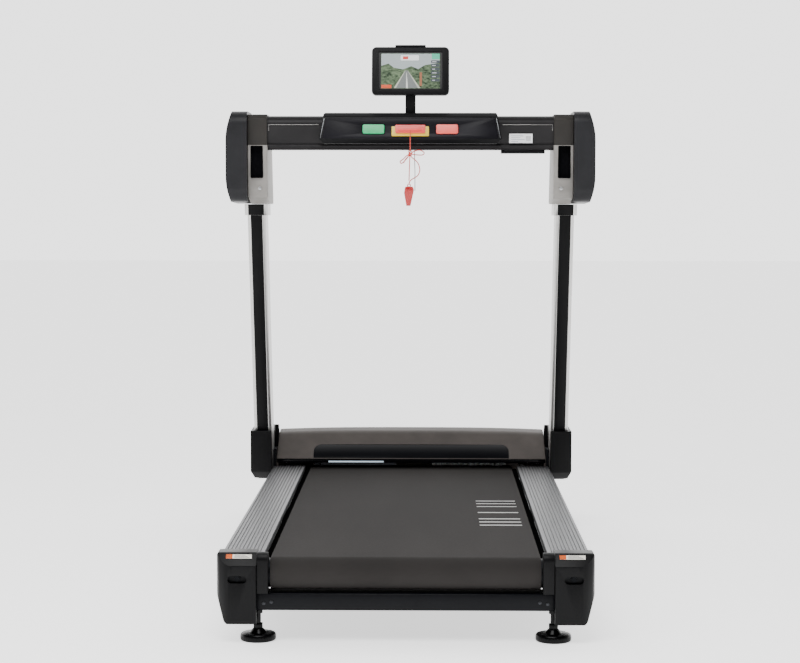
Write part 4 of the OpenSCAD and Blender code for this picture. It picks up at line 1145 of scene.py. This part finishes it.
class TREADMILL_OT_uprights(bpy.types.Operator):
    """Makes the leaning uprights, their dark inlays and the collars at their tops"""

    bl_idname = "treadmill.uprights"
    bl_label = "Uprights"

    def execute(self, context):
        low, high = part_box("upright_right")
        lean = sizes().upright_lean
        width, depth, inlay = high[0] - low[0], 90 * MM, 31 * MM
        tall = (high[2] - low[2] - depth * math.sin(lean)) / math.cos(lean)
        groove = 3 * MM
        outline = filleted([(-width / 2, -depth / 2, 8 * MM), (-inlay / 2, -depth / 2, 0.4 * MM),
                            (-inlay / 2, -depth / 2 + groove, 0), (inlay / 2, -depth / 2 + groove, 0),
                            (inlay / 2, -depth / 2, 0.4 * MM), (width / 2, -depth / 2, 8 * MM),
                            (width / 2, depth / 2, 8 * MM), (-width / 2, depth / 2, 8 * MM)], 8)
        # this pale silver is painted reflection, standing for the bright backdrop seen on the uprights' sides
        # at a grazing angle
        metal = anodised("upright_silver_painted_reflection", colours().upright, (1, 1, 0.006), 0.34)
        dark = moulded("abs_inlay", "#0c0c0d", 0.5, 1.2)
        place = upright_frame()
        upright = smooth(in_frame(prism("upright_post_right", outline, "Z", 0, tall), place), 30)
        trim = prism("inlay_right", [(-inlay / 2 + 0.1 * MM, -depth / 2 + 0.3 * MM),
                                     (inlay / 2 - 0.1 * MM, -depth / 2 + 0.3 * MM),
                                     (inlay / 2 - 0.1 * MM, -depth / 2 + groove - 0.05 * MM),
                                     (-inlay / 2 + 0.1 * MM, -depth / 2 + groove - 0.05 * MM)], "Z", 0,
                                     tall)
        trim = soften(in_frame(trim, place), 0.5 * MM, 2)
        twin = mirrored(upright, "upright_post_left")
        finish_piece(upright, "frame", metal, ["upright_right"])
        finish_piece(twin, "frame", metal, ["upright_left"])
        trim_twin = mirrored(trim, "inlay_left")
        finish_piece(merged("upright_inlays", [trim, trim_twin]), "frame", dark, ["upright_trims"])

        low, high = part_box("upright_collars")
        collar = in_frame(prism("collar_right", rounded_rect(width + 14 * MM, depth + 14 * MM, 10 * MM),
                                "Z",
                                tall - 0.12, tall + 0.12), place)
        slab = block("slab", (0.2, -0.5, low[2]), (0.6, 0.9, high[2]))
        collar = keep_inside(collar, slab)
        hole = in_frame(prism("hole", rounded_rect(width + 0.6 * MM, depth + 0.6 * MM, 8.2 * MM), "Z",
                              tall - 0.2, tall), place)
        collar = cut(collar, hole)
        front = in_frame(block("front", (-21 * MM, -0.1, tall - 0.2),
                               (21 * MM, -depth / 2 - 2 * MM, tall + 0.2)),
                         place)
        slot_cut = in_frame(block("slot", (-21.2 * MM, -0.1, tall - 0.2),
                                  (21.2 * MM, -depth / 2 - 4.5 * MM, tall + 0.2)), place)
        plug = keep_inside(front, block("plug_mask", (0.2, low[1] + 0.2 * MM, low[2] + 0.2 * MM),
                                        (0.6, 0.9, high[2] - 0.2 * MM)))
        collar = soften(cut(collar, slot_cut), 1.2 * MM, 3, 50)
        plug = keep_inside(plug, in_frame(block("depth", (-0.1, -depth / 2 - 6.8 * MM, tall - 0.2),
                                                (0.1, -depth / 2, tall + 0.2)), place))
        plug = soften(plug, 0.8 * MM, 2, 50)
        collar_twin = mirrored(collar, "collar_left")
        plug_twin = mirrored(plug, "collar_plug_left")
        finish_piece(merged("collar_pair", [collar, collar_twin]), "frame", metal, ["upright_collars"])
        finish_piece(merged("collar_plugs", [plug, plug_twin]), "frame", dark)
        return {"FINISHED"}


class TREADMILL_OT_head(bpy.types.Operator):
    """Makes the head brackets with their pockets, the side pods and their screws"""

    bl_idname = "treadmill.head"
    bl_label = "Head brackets and pods"

    def bracket(self):
        low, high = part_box("head_bracket_right")
        bar_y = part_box("crossbar")[0][1]
        top = high[2]
        side = filleted([
            (high[1] - 112 * MM, low[2], 4 * MM), (bar_y + 12 * MM, low[2] + 14 * MM, 10 * MM),
            (low[1], top - 12 * MM, 8 * MM), (low[1] + 12 * MM, top, 8 * MM),
            (high[1] - 73.5 * MM, top, 14 * MM), (high[1], low[2], 6 * MM)], 6)
        bracket = prism("head_casting_right", side, "X", low[0], high[0])
        bracket = soften(bracket, 2.5 * MM, 3, 50)
        px = low[0] + 28 * MM
        pocket_z = 991 * MM
        pocket = plate("pocket", (33, 85, 3), (px, pocket_z + 42.5 * MM), "Y", low[1] - 0.02,
                       low[1] + 32 * MM)
        recess = rod("screw_recess", 5.6 * MM, (px - 8 * MM, low[1] - CLEAR, pocket_z - 27 * MM),
                     (px - 8 * MM, low[1] + 11.5 * MM, pocket_z - 27 * MM), 32)
        bracket = smooth(cut(bracket, pocket, recess), 30)
        cover = bracket.copy()
        cover.data = bracket.data.copy()
        bpy.context.scene.collection.objects.link(cover)
        far = 0.5
        seam = pocket_z + 86.5 * MM
        bracket = cut(bracket, block("over", (-far, -far, seam - 0.4 * MM), (far, far, high[2] + CLEAR)))
        cover = keep_inside(cover, block("cover_mask", (-far, -far, seam), (far, far, high[2] + CLEAR)))
        cover.name = cover.data.name = "head_cover_right"
        return smooth(bracket, 30), smooth(cover, 30), (px, pocket_z, low[1])

    def shade_tray(self, px, pocket_z, y):
        """Painted shade in the pocket: a near-black open tray with a thin rim."""
        centre = (px, pocket_z + 42.5 * MM)
        tray = plate("pocket_liner_right", (32.6, 84.6, 3), centre, "Y", y + 8 * MM, y + 31.8 * MM)
        return cut(tray, plate("tray", (29.6, 81.6, 2), centre, "Y", y - CLEAR, y + 30.3 * MM))

    def pod(self):
        low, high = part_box("side_pod_right")
        y0, y1 = low[1], high[1]
        slant = 77 * MM
        side = filleted([(y0 + 1 * MM, low[2] + 6 * MM, 36 * MM), (y0, high[2], 34 * MM),
                         (y1 - slant, high[2], 36 * MM), (y1, low[2], 34 * MM)], 12)
        pod = prism("pod_shell_right", side, "X", low[0], high[0])
        # the shell gets thinner toward its top and its bottom
        z0, z1 = low[2], high[2]
        front = filleted([(low[0], z0 - MM, 0), (high[0] - 13 * MM, z0 - MM, 0),
                          (high[0], z0 + 52 * MM, 180 * MM), (high[0], z1 - 56 * MM, 180 * MM),
                          (high[0] - 15 * MM, z1 + MM, 0), (low[0], z1 + MM, 0)], 12)
        pod = keep_inside(pod, prism("pod_mask", front, "Y", y0 - CLEAR, y1 + CLEAR))
        # the outer edge is rounded far more than the inner one
        activate(pod)
        weights = pod.data.attributes.new("bevel_weight_edge", "FLOAT", "EDGE")
        for edge in pod.data.edges:
            ends = [pod.data.vertices[i].co.x for i in edge.vertices]
            outer = min(ends) > high[0] - 21 * MM
            inner = max(ends) < low[0] + MM
            weights.data[edge.index].value = 1.0 if outer else (0.12 if inner else 0.0)
        apply_modifier(pod, "BEVEL", width=sizes().pod_radius, segments=8, limit_method="WEIGHT",
                       use_clamp_overlap=True)
        return smooth(pod, 40)

    def execute(self, context):
        cast = powder_coat("cast_aluminium_head", colours().head, 0.42)
        shell = moulded("abs_pod", colours().pod, 0.34, 1.4)
        cover_shell = moulded("abs_head_cover", "#312f2d", 0.4, 1.6)
        # the near-black tray is painted shade inside the head bracket's pocket
        pocket_shade_finish = fibreboard("pocket_painted_shade", "#111113")
        bracket, cover, pocket = self.bracket()
        pod = self.pod()
        shade_tray = smooth(self.shade_tray(*pocket), 30)
        for right, label, nodes, material, slot_name in (
                (bracket, "head_casting", "head_bracket", cast, "head"),
                (cover, "head_cover", None, cover_shell, "head"),
                (shade_tray, "pocket_shade_tray", None, pocket_shade_finish, "plastic"),
                (pod, "pod_shell", "side_pod", shell, "plastic")):
            left = mirrored(right, f"{label}_left")
            finish_piece(right, "frame", material, [f"{nodes}_right"] if nodes else ())
            finish_piece(left, "frame", material, [f"{nodes}_left"] if nodes else ())
        low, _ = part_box("head_bracket_right")
        px, z, y = low[0] + 20 * MM, 964 * MM, low[1] + 9 * MM
        screws = []
        for side in (LEFT, RIGHT):
            head = rod("head", 4.5 * MM, (side * px, y, z), (side * px, y + 3 * MM, z), 28)
            head = soften(head, 0.8 * MM, 2)
            place = Matrix.Translation((side * px, y, z)) @ Matrix.Rotation(math.pi / 2, 4, "X")
            screws.append(cut(head, hexagon(2.2 * MM, 4 * MM, place)))
        finish_piece(merged("socket_screws", screws), "frame", machined_steel("zinc_screw", "#c9cacc"),
                     ["bracket_screws"])
        return {"FINISHED"}


class TREADMILL_OT_crossbar(bpy.types.Operator):
    """Makes the crossbar, the small box under it and the sticker on it"""

    bl_idname = "treadmill.crossbar"
    bl_label = "Crossbar"

    def execute(self, context):
        low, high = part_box("crossbar")
        y0, y1, z0, z1 = low[1], high[1], low[2], high[2]
        step = z1 - 22 * MM
        # a shallow shadow line parts the round top band from the flat face
        outline = (
            arc(y0 + 22 * MM, z1 - 22 * MM, 22 * MM, 180, 90, 10) + arc(y1 - 22 * MM, z1 - 22 * MM,
                                                                        22 * MM, 90, 0, 10)
            + filleted([(y1, z0 + 16 * MM, 6 * MM), (y1 - 14 * MM, z0, 6 * MM), (y0 + 14 * MM, z0, 6 * MM),
                        (y0, z0 + 16 * MM, 6 * MM)], 5)
            + [(y0, step - 3.2 * MM), (y0 + 0.4 * MM, step - 2.6 * MM), (y0 + 1.6 * MM, step - 2.2 * MM),
               (y0 + 1.6 * MM, step - 1 * MM), (y0 + 0.3 * MM, step - 0.8 * MM)])
        bar = smooth(prism("crossbar_beam", outline, "X", low[0], high[0]), 28)
        finish_piece(bar, "frame", moulded("abs_crossbar", "#242324", 0.34, 1.5), ["crossbar"])

        # painted highlight: a bright strip follows the flat face's upper edge on each side of the console,
        # and turns down at its outer end, standing for the highlight on that edge
        console_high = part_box("console_housing")[1]
        highlight_strips = []
        for side in (LEFT, RIGHT):
            ends = sorted((side * (console_high[0] + 2 * MM), side * (high[0] - 4 * MM)))
            highlight_strip = block("highlight_strip", (ends[0], y0 + 0.05 * MM, step - 1.9 * MM),
                         (ends[1], y0 + 1.5 * MM, step - 1.1 * MM))
            highlight_strips.append(soften(highlight_strip, 0.25 * MM, 2))
            x = side * (high[0] - 4 * MM)
            drop = block("highlight_strip", (x - 0.4 * MM, y0 + 0.05 * MM, step - 17 * MM),
                         (x + 0.4 * MM, y0 + 1.5 * MM, step - 1.1 * MM))
            highlight_strips.append(soften(drop, 0.25 * MM, 2))
        finish_piece(merged("crossbar_highlight_strips", highlight_strips), "frame",
                     anodised("painted_highlight_strip", "#b9b7b4", (0.02, 1, 1), 0.3))

        low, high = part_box("receiver_box")
        box = prism("receiver_case", rounded_rect(high[0] - low[0], high[1] - low[1], 9 * MM,
                                                  (low[0] + high[0]) / 2, (low[1] + high[1]) / 2, 8), "Z",
                    low[2], high[2])
        box = soften(box, 2.2 * MM, 4)
        finish_piece(box, "frame", piano_black("polished_abs_receiver", "#0c0c0e"), ["receiver_box"])

        y = y0 - 0.25 * MM
        field = block("field", (259 * MM, y, 1083 * MM), (320 * MM, y + 0.6 * MM, 1107 * MM))
        field.data.materials.append(printed("label_film", "#f4f4f6", 0.4))
        parts = [field]
        for row, (x0, x1) in enumerate(((264, 296), (264, 288), (264, 300), (264, 282))):
            z = (1102 - 5 * row) * MM
            bar = block("row", (x0 * MM, y - 0.1 * MM, z - 1 * MM), (x1 * MM, y + 0.1 * MM, z))
            bar.data.materials.append(printed("label_ink", "#5a6c88", 0.5))
            parts.append(bar)
        for column in range(6):
            x = (303 + 2.2 * column) * MM
            bar = block("column", (x, y - 0.1 * MM, 1088 * MM), (x + 1.1 * MM, y + 0.1 * MM, 1101 * MM))
            bar.data.materials.append(printed("label_bar_ink", "#8e9095", 0.5))
            parts.append(bar)
        finish_piece(merged("crossbar_sticker", parts), "frame")
        return {"FINISHED"}


# ---- the console ----


class TREADMILL_OT_console(bpy.types.Operator):
    """Makes the console's housing and its glossy face"""

    bl_idname = "treadmill.console"
    bl_label = "Console"

    def face_outline(self, grow):
        """The face panel's outline in its own plane, narrower toward its top."""
        low, top = 2.3 * MM - grow, 57.7 * MM + grow
        wide, narrow = 230.7 * MM + grow, 221 * MM + grow
        return filleted([(-wide, low, 4 * MM), (wide, low, 4 * MM), (narrow, top, 5 * MM),
                         (-narrow, top, 5 * MM)], 6)

    def execute(self, context):
        low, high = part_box("console_housing")
        place = face_frame()
        top_front = place @ Vector((0, 0, 60 * MM))
        y1 = high[1]
        side = filleted([(low[1] + 4 * MM, low[2], 2 * MM), (low[1], low[2] + 11 * MM, 2 * MM),
                         (top_front.y, top_front.z, 7 * MM), (low[1] + 27 * MM, high[2], 6 * MM),
                         (y1, high[2], 2 * MM), (y1, low[2], 1 * MM)], 6)
        housing = prism("console_case", side, "X", low[0], high[0])
        well = in_frame(prism("well", self.face_outline(0.3 * MM), "Y", -0.02, 3.1 * MM), place)
        tools = [well]
        # both ends lean in toward the top, and turn in again at the foot
        half, foot_z, top_z = high[0], low[2] + 12 * MM, high[2]
        front = filleted([(-half + 14 * MM, low[2] - MM, 0), (half - 14 * MM, low[2] - MM, 0),
                          (half, foot_z, 5 * MM),
                          (half - 11 * MM, top_z - 4 * MM, 8 * MM), (half - 16 * MM, top_z + MM, 0),
                          (-half + 16 * MM, top_z + MM, 0), (-half + 11 * MM, top_z - 4 * MM, 8 * MM),
                          (-half, foot_z, 5 * MM)], 5)
        housing = keep_inside(housing, prism("ends", front, "Y", low[1] - CLEAR, y1 + CLEAR))
        for x in (-BUTTON_X, BUTTON_X):
            tools.append(in_frame(plate("pocket", (64, 32, 5), (x, ROW_Z), "Y", 0, 16 * MM), place))
        housing = smooth(cut(soften(housing, 2.5 * MM, 4, 40), *tools), 30)
        finish_piece(housing, "frame", piano_black("polished_abs_console", "#070709", 0.3),
                     ["console_housing"])

        panel = prism("console_face", self.face_outline(0), "Y", 0.4 * MM, 3 * MM)
        holes = [plate("hole", (57.6, 25.6, 5), (x, ROW_Z), "Y", -CLEAR, CLEAR, 8)
                 for x in (-BUTTON_X, BUTTON_X)]
        panel = soften(in_frame(cut(panel, *holes), place), 0.5 * MM, 2, 50)
        finish_piece(panel, "frame", piano_black("polished_abs_face", colours().gloss, 0.38),
                     ["console_panel"])

        # a bright edge strip closes each end of the console
        strips = []
        for side_sign in (LEFT, RIGHT):
            foot, top = side_sign * 233.6 * MM, side_sign * 224 * MM
            thick = side_sign * 1.3 * MM
            outline = [(foot, 3 * MM), (foot + thick, 3 * MM), (top + thick, 57 * MM), (top, 57 * MM)]
            strip = in_frame(prism("strip", outline, "Y", -0.3 * MM, 1.2 * MM), place)
            strips.append(soften(strip, 0.3 * MM, 2))
        finish_piece(merged("console_edge_strips", strips), "frame",
                     anodised("anodised_aluminium_edge", "#8d8f92", (1, 1, 0.02)))
        return {"FINISHED"}


class TREADMILL_OT_buttons(bpy.types.Operator):
    """Makes the green start button and the red stop button"""

    bl_idname = "treadmill.buttons"
    bl_label = "Start and stop buttons"

    def button(self, name, x):
        """A domed cap with a hidden flange that holds it behind the face."""
        place = face_frame()
        cap = plate(name, (57, 25, 4.7), (x, ROW_Z), "Y", -4 * MM, 5 * MM, 8)
        cap = soften(cap, 1.6 * MM, 5, 50)
        flange = plate("flange", (63, 31, 5), (x, ROW_Z), "Y", 3.3 * MM, 6.3 * MM)
        flange = soften(flange, 0.4 * MM, 2)
        return in_frame(merged(name, [cap, flange]), place)

    def execute(self, context):
        green = soft_touch("polycarbonate_green", colours().green)
        red = soft_touch("polycarbonate_red", colours().red)
        finish_piece(self.button("start_cap", -BUTTON_X), "start", green, ["start_button"])
        finish_piece(self.button("stop_cap", BUTTON_X), "stop", red, ["stop_button"])
        return {"FINISHED"}


class TREADMILL_OT_safety_key(bpy.types.Operator):
    """Makes the yellow key frame and the red safety key"""

    bl_idname = "treadmill.safety_key"
    bl_label = "Safety key"

    def execute(self, context):
        place = face_frame()
        bezel = plate("key_bezel", (97, 26, 2.5), (0, 21 * MM), "Y", -3 * MM, 0, 8)
        bezel = cut(bezel, plate("hole", (62, 11, 2), (0, KEY_Z), "Y", -CLEAR, CLEAR))
        bezel = soften(in_frame(bezel, place), 0.8 * MM, 3, 50)
        finish_piece(bezel, "frame", soft_touch("polycarbonate_yellow", colours().yellow, 0.4),
                     ["key_frame"])

        body = plate("safety_key_grip", (78, 22, 3.5), (0, KEY_Z), "Y", -9 * MM, -3.3 * MM, 8)
        body = soften(body, 1.2 * MM, 4, 50)
        ridge = soften(plate("ridge", (64, 12, 3.5), (0, KEY_Z), "Y", -13 * MM, -8 * MM, 8), 1.6 * MM, 4,
                       50)
        groove = plate("groove", (66, 1.6, 0.7), (0, KEY_Z), "Y", -14 * MM, -12 * MM, 4)
        ridge = cut(ridge, groove)
        peg = soften(plate("peg", (60, 9, 1.6), (0, KEY_Z), "Y", -3.6 * MM, 12 * MM),
                     0.8 * MM, 2, 50)
        key = in_frame(merged("safety_key_grip", [body, ridge, peg]), place)
        finish_piece(key, "key", soft_touch("abs_key_red", "#ef4a41", 0.35), ["safety_key"])
        return {"FINISHED"}


# ---- the tablet holder ----


class TREADMILL_OT_tablet_holder(bpy.types.Operator):
    """Makes the holder's post, the cradle with its clamp, the tablet and its lit screen"""

    bl_idname = "treadmill.tablet_holder"
    bl_label = "Tablet holder"

    def post(self):
        low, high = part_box("holder_post")
        pivot = Vector(JOINTS["holder_tilt"]["pos_m"])
        bar_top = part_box("crossbar")[1][2]
        stem = block("holder_stem", (-13.5 * MM, pivot.y - 6 * MM, bar_top),
                     (13.5 * MM, pivot.y + 6 * MM, pivot.z))
        stem = soften(stem, 2.5 * MM, 4)
        knuckle = soften(rod("knuckle", 9 * MM, (-13.5 * MM, pivot.y, pivot.z),
                             (13.5 * MM, pivot.y, pivot.z), 48),
                         0.8 * MM, 2, 50)
        base = prism("base", rounded_rect(high[0] - low[0], high[1] - low[1], 4 * MM, 0,
                                          (low[1] + high[1]) / 2, 8),
                     "Z", bar_top, bar_top + 4 * MM)
        base = soften(base, 1.2 * MM, 3, 50)
        return merged("holder_stem", [stem, knuckle, base])

    def cradle(self, place):
        shell = plate("cradle_shell", (203, 129, 12), (0, MID), "Y", 0, 16 * MM, 12)
        shell = soften(shell, 2.4 * MM, 4, 50)
        window = plate("window", (167, 103, 3), (0, MID), "Y", -0.02, 2.9 * MM)
        bay = plate("bay", (187.6, 115.6, 8.2), (0, MID), "Y", 2.7 * MM, 12.2 * MM)
        shell = smooth(cut(shell, window, bay), 30)
        parts = [shell]
        for side in (LEFT, RIGHT):
            x = side * 16.8 * MM
            lug = prism("lug", [(15.9 * MM, 36 * MM)] + arc(28 * MM, 45 * MM, 9 * MM, -90, 90, 12)
                        + [(15.9 * MM, 54 * MM)], "X", x - 3 * MM, x + 3 * MM)
            parts.append(soften(lug, 0.7 * MM, 2, 50))
        pin = rod("pin", 4 * MM, (-20.5 * MM, 28 * MM, 45 * MM), (20.5 * MM, 28 * MM, 45 * MM), 32)
        parts.append(soften(pin, 0.6 * MM, 2, 50))
        return in_frame(merged("cradle_shell", parts), place)

    def clamp(self, place):
        hook = plate("clamp_hook", (80, 4.6, 2), (0, 131.6 * MM), "Y", -1 * MM, 19.3 * MM)
        stem = plate("stem", (30, 61, 3), (0, 103 * MM), "Y", 16.3 * MM, 19.3 * MM)
        return in_frame(merged("clamp_hook",
                               [soften(hook, 0.8 * MM, 3, 50), soften(stem, 0.6 * MM, 2, 50)]), place)

    def screen(self, place):
        """The picture: hills on the lit panel, with sky, road, verge lines and plain tiles laid on it."""
        y = 3 * MM
        w, h, cz = 155 * MM, 95 * MM, MID
        back = prism("screen_panel", rounded_rect(w, h, 1.5 * MM, 0, cz, 4), "Y", y, y + 0.8 * MM)
        back.data.materials.append(road_picture("lit_panel_hills"))
        parts = [back]

        def tile(outline, hex_colour, label, lift, glow=0.3):
            piece = prism("tile", outline, "Y", y - lift * MM, y + 0.1 * MM)
            piece.data.materials.append(printed(label, hex_colour, 0.15, glow))
            parts.append(piece)

        def band(foot, head):
            """A four-cornered outline between two (left, right, height) edges."""
            return [(foot[0], foot[2]), (foot[1], foot[2]), (head[1], head[2]), (head[0], head[2])]

        left, right, low, top = -w / 2 + MM, w / 2 - MM, cz - h / 2 + MM, cz + h / 2 - MM
        ridge = [(-58, 20), (-44, 9), (-20, 4), (2, 13), (20, 5), (38, 16)]
        skyline = [(left, cz + 14 * MM)] + [(x * MM, cz + z * MM) for x,
                                            z in ridge] + [(right, cz + 22 * MM)]
        far = cz + 1 * MM
        tile(skyline + [(right, top), (left, top)], "#9aa3a4", "lit_sky", 0.05)
        tile(band((-38 * MM, 20 * MM, low), (-13 * MM, -8 * MM, far)), "#6d7170", "lit_asphalt", 0.08)
        tile(band((-11.5 * MM, -6.5 * MM, low), (-10.8 * MM, -10.2 * MM, cz - 4 * MM)), "#c9cbc6",
             "lit_road_line", 0.11)
        tile(band((-44 * MM, -38 * MM, low), (-14 * MM, -13 * MM, far)), "#a8ab9c", "lit_verge", 0.11)
        tile(band((20 * MM, 26 * MM, low), (-8 * MM, -7.4 * MM, far)), "#a8ab9c", "lit_verge", 0.11)
        tile(band((24 * MM, 30 * MM, low + 6 * MM), (24 * MM, 30 * MM, cz - 4 * MM)), "#8f5a3f",
             "lit_figure", 0.13)
        tile(band((left, -50 * MM, low), (left, -50 * MM, low + 9 * MM)), "#c9502e", "lit_orange", 0.13)
        tile(band((56 * MM, right, top - 15 * MM), (56 * MM, right, top)), "#3fae8d", "lit_green", 0.13)
        for row in range(6):
            z = top - (18 + 10 * row) * MM
            tile(band((54 * MM, right, z - 7 * MM), (54 * MM, right, z)), "#3c4348", "lit_row", 0.11)
            end = (68 - 2 * (row % 3)) * MM
            tile(band((57 * MM, end, z - 4.6 * MM), (57 * MM, end, z - 3 * MM)), "#c6cacc",
                 "lit_row_bar", 0.14)
        tile(rounded_rect(48 * MM, 14 * MM, 2 * MM, -2 * MM, top - 11 * MM, 4), "#d8dadb",
             "lit_card", 0.11, 0.6)
        tile(band((-20 * MM, -6 * MM, top - 15 * MM), (-20 * MM, -6 * MM, top - 7 * MM)), "#c2403a",
             "lit_card_mark", 0.14)
        return in_frame(merged("screen_panel", parts), place)

    def execute(self, context):
        place = holder_frame()
        finish_piece(self.post(), "frame", powder_coat("powder_coat_stem", "#0c0c0e", 0.42),
                     ["holder_post"])
        plastic = moulded("abs_cradle", "#08080a", 0.4, 1.2)
        finish_piece(self.cradle(place), "holder", plastic, ["tablet_cradle"])
        finish_piece(self.clamp(place), "clamp", plastic, ["holder_clamp"])
        slab = plate("tablet_body", (186.8, 114.8, 8), (0, MID), "Y", 3 * MM, 12 * MM, 8)
        slab = soften(slab, 0.8 * MM, 3, 50)
        slab = cut(slab, plate("screen_bay", (155.4, 95.4, 1.5), (0, MID), "Y", -CLEAR, 3.85 * MM, 4))
        finish_piece(in_frame(smooth(slab, 30), place), "holder",
                     piano_black("tablet_glass_black", "#0a0a0c"),
                     ["tablet"])
        finish_piece(self.screen(place), "holder", None, ["tablet_screen"])
        return {"FINISHED"}


class TREADMILL_OT_inner_parts(bpy.types.Operator):
    """Gives the frame, drive, rollers and wheels, which keep their own shapes, their finishes"""

    bl_idname = "treadmill.inner_parts"
    bl_label = "Inner parts"

    def execute(self, context):
        steel = powder_coat("powder_coat_frame", "#141518")
        bright = machined_steel("turned_steel", "#c4c6c8")
        cast = powder_coat("cast_iron_grey", "#4a4d52", 0.5)
        black = rubber("black_rubber", "#0f0f10")
        plastic = moulded("abs_tray", "#101012", 0.45)
        # dark phosphated steel, kept dark also as painted shade, so the rollers' ends beside the belt read as
        # the shade there
        dark = machined_steel("phosphated_steel_and_shade", "#1c1d1f", 0.45)
        finishes = {
            steel: ["side_tubes", "cross_members", "wheel_brackets"],
            dark: ["tension_bolts", "front_roller", "rear_roller"],
            bright: ["roller_axles", "front_bearings", "rear_bearings", "wheel_axles"],
            cast: ["drive_pulley", "motor", "motor_rotor"],
            anodised("anodised_aluminium_fins", "#8b8d90", (1, 0.01, 1)): ["motor_controller"],
            black: ["deck_cushions", "drive_belt", "transport_wheel_left", "transport_wheel_right"],
            # the board's near-black colour is painted shade: it darkens the gaps beside the belt where the
            # board shows
            fibreboard("deck_board_painted_shade", "#050505"): ["deck_board"],
            plastic: ["belly_pan", "power_inlet"],
            soft_touch("polycarbonate_switch", "#b02a25"): ["power_switch"],
        }
        for material, names in finishes.items():
            for name in names:
                data = frame["nodes"][name].data
                data.materials.clear()
                data.materials.append(material)
        return {"FINISHED"}


# ---- registration and the run ----

OPERATORS = (
    TREADMILL_OT_stage, TREADMILL_OT_cords, TREADMILL_OT_belt, TREADMILL_OT_foot_rails,
    TREADMILL_OT_rear_caps,
    TREADMILL_OT_base, TREADMILL_OT_hood, TREADMILL_OT_boots, TREADMILL_OT_uprights, TREADMILL_OT_head,
    TREADMILL_OT_crossbar, TREADMILL_OT_console, TREADMILL_OT_buttons, TREADMILL_OT_safety_key,
    TREADMILL_OT_tablet_holder, TREADMILL_OT_inner_parts,
)


class TREADMILL_PT_panel(bpy.types.Panel):
    """Lists the machine's pieces in the 3D view's sidebar"""

    bl_idname = "TREADMILL_PT_panel"
    bl_label = "Running machine"
    bl_space_type = "VIEW_3D"
    bl_region_type = "UI"
    bl_category = "Running machine"

    def draw(self, context):
        column = self.layout.column()
        for operator in OPERATORS:
            column.operator(operator.bl_idname)
        for group in (context.scene.machine_sizes, context.scene.machine_colours):
            for name in group.bl_rna.properties.keys():
                if name not in ("rna_type", "name"):
                    column.prop(group, name)


CLASSES = (MachineSizes, MachineColours, *OPERATORS, TREADMILL_PT_panel)


def register():
    for cls in CLASSES:
        bpy.utils.register_class(cls)
    bpy.types.Scene.machine_sizes = PointerProperty(type=MachineSizes)
    bpy.types.Scene.machine_colours = PointerProperty(type=MachineColours)


def unregister():
    del bpy.types.Scene.machine_sizes
    del bpy.types.Scene.machine_colours
    for cls in reversed(CLASSES):
        bpy.utils.unregister_class(cls)


def main():
    register()
    for operator in OPERATORS:
        group, name = operator.bl_idname.split(".")
        getattr(getattr(bpy.ops, group), name)()
    bpy.context.view_layer.update()


if __name__ == "__main__":
    main()
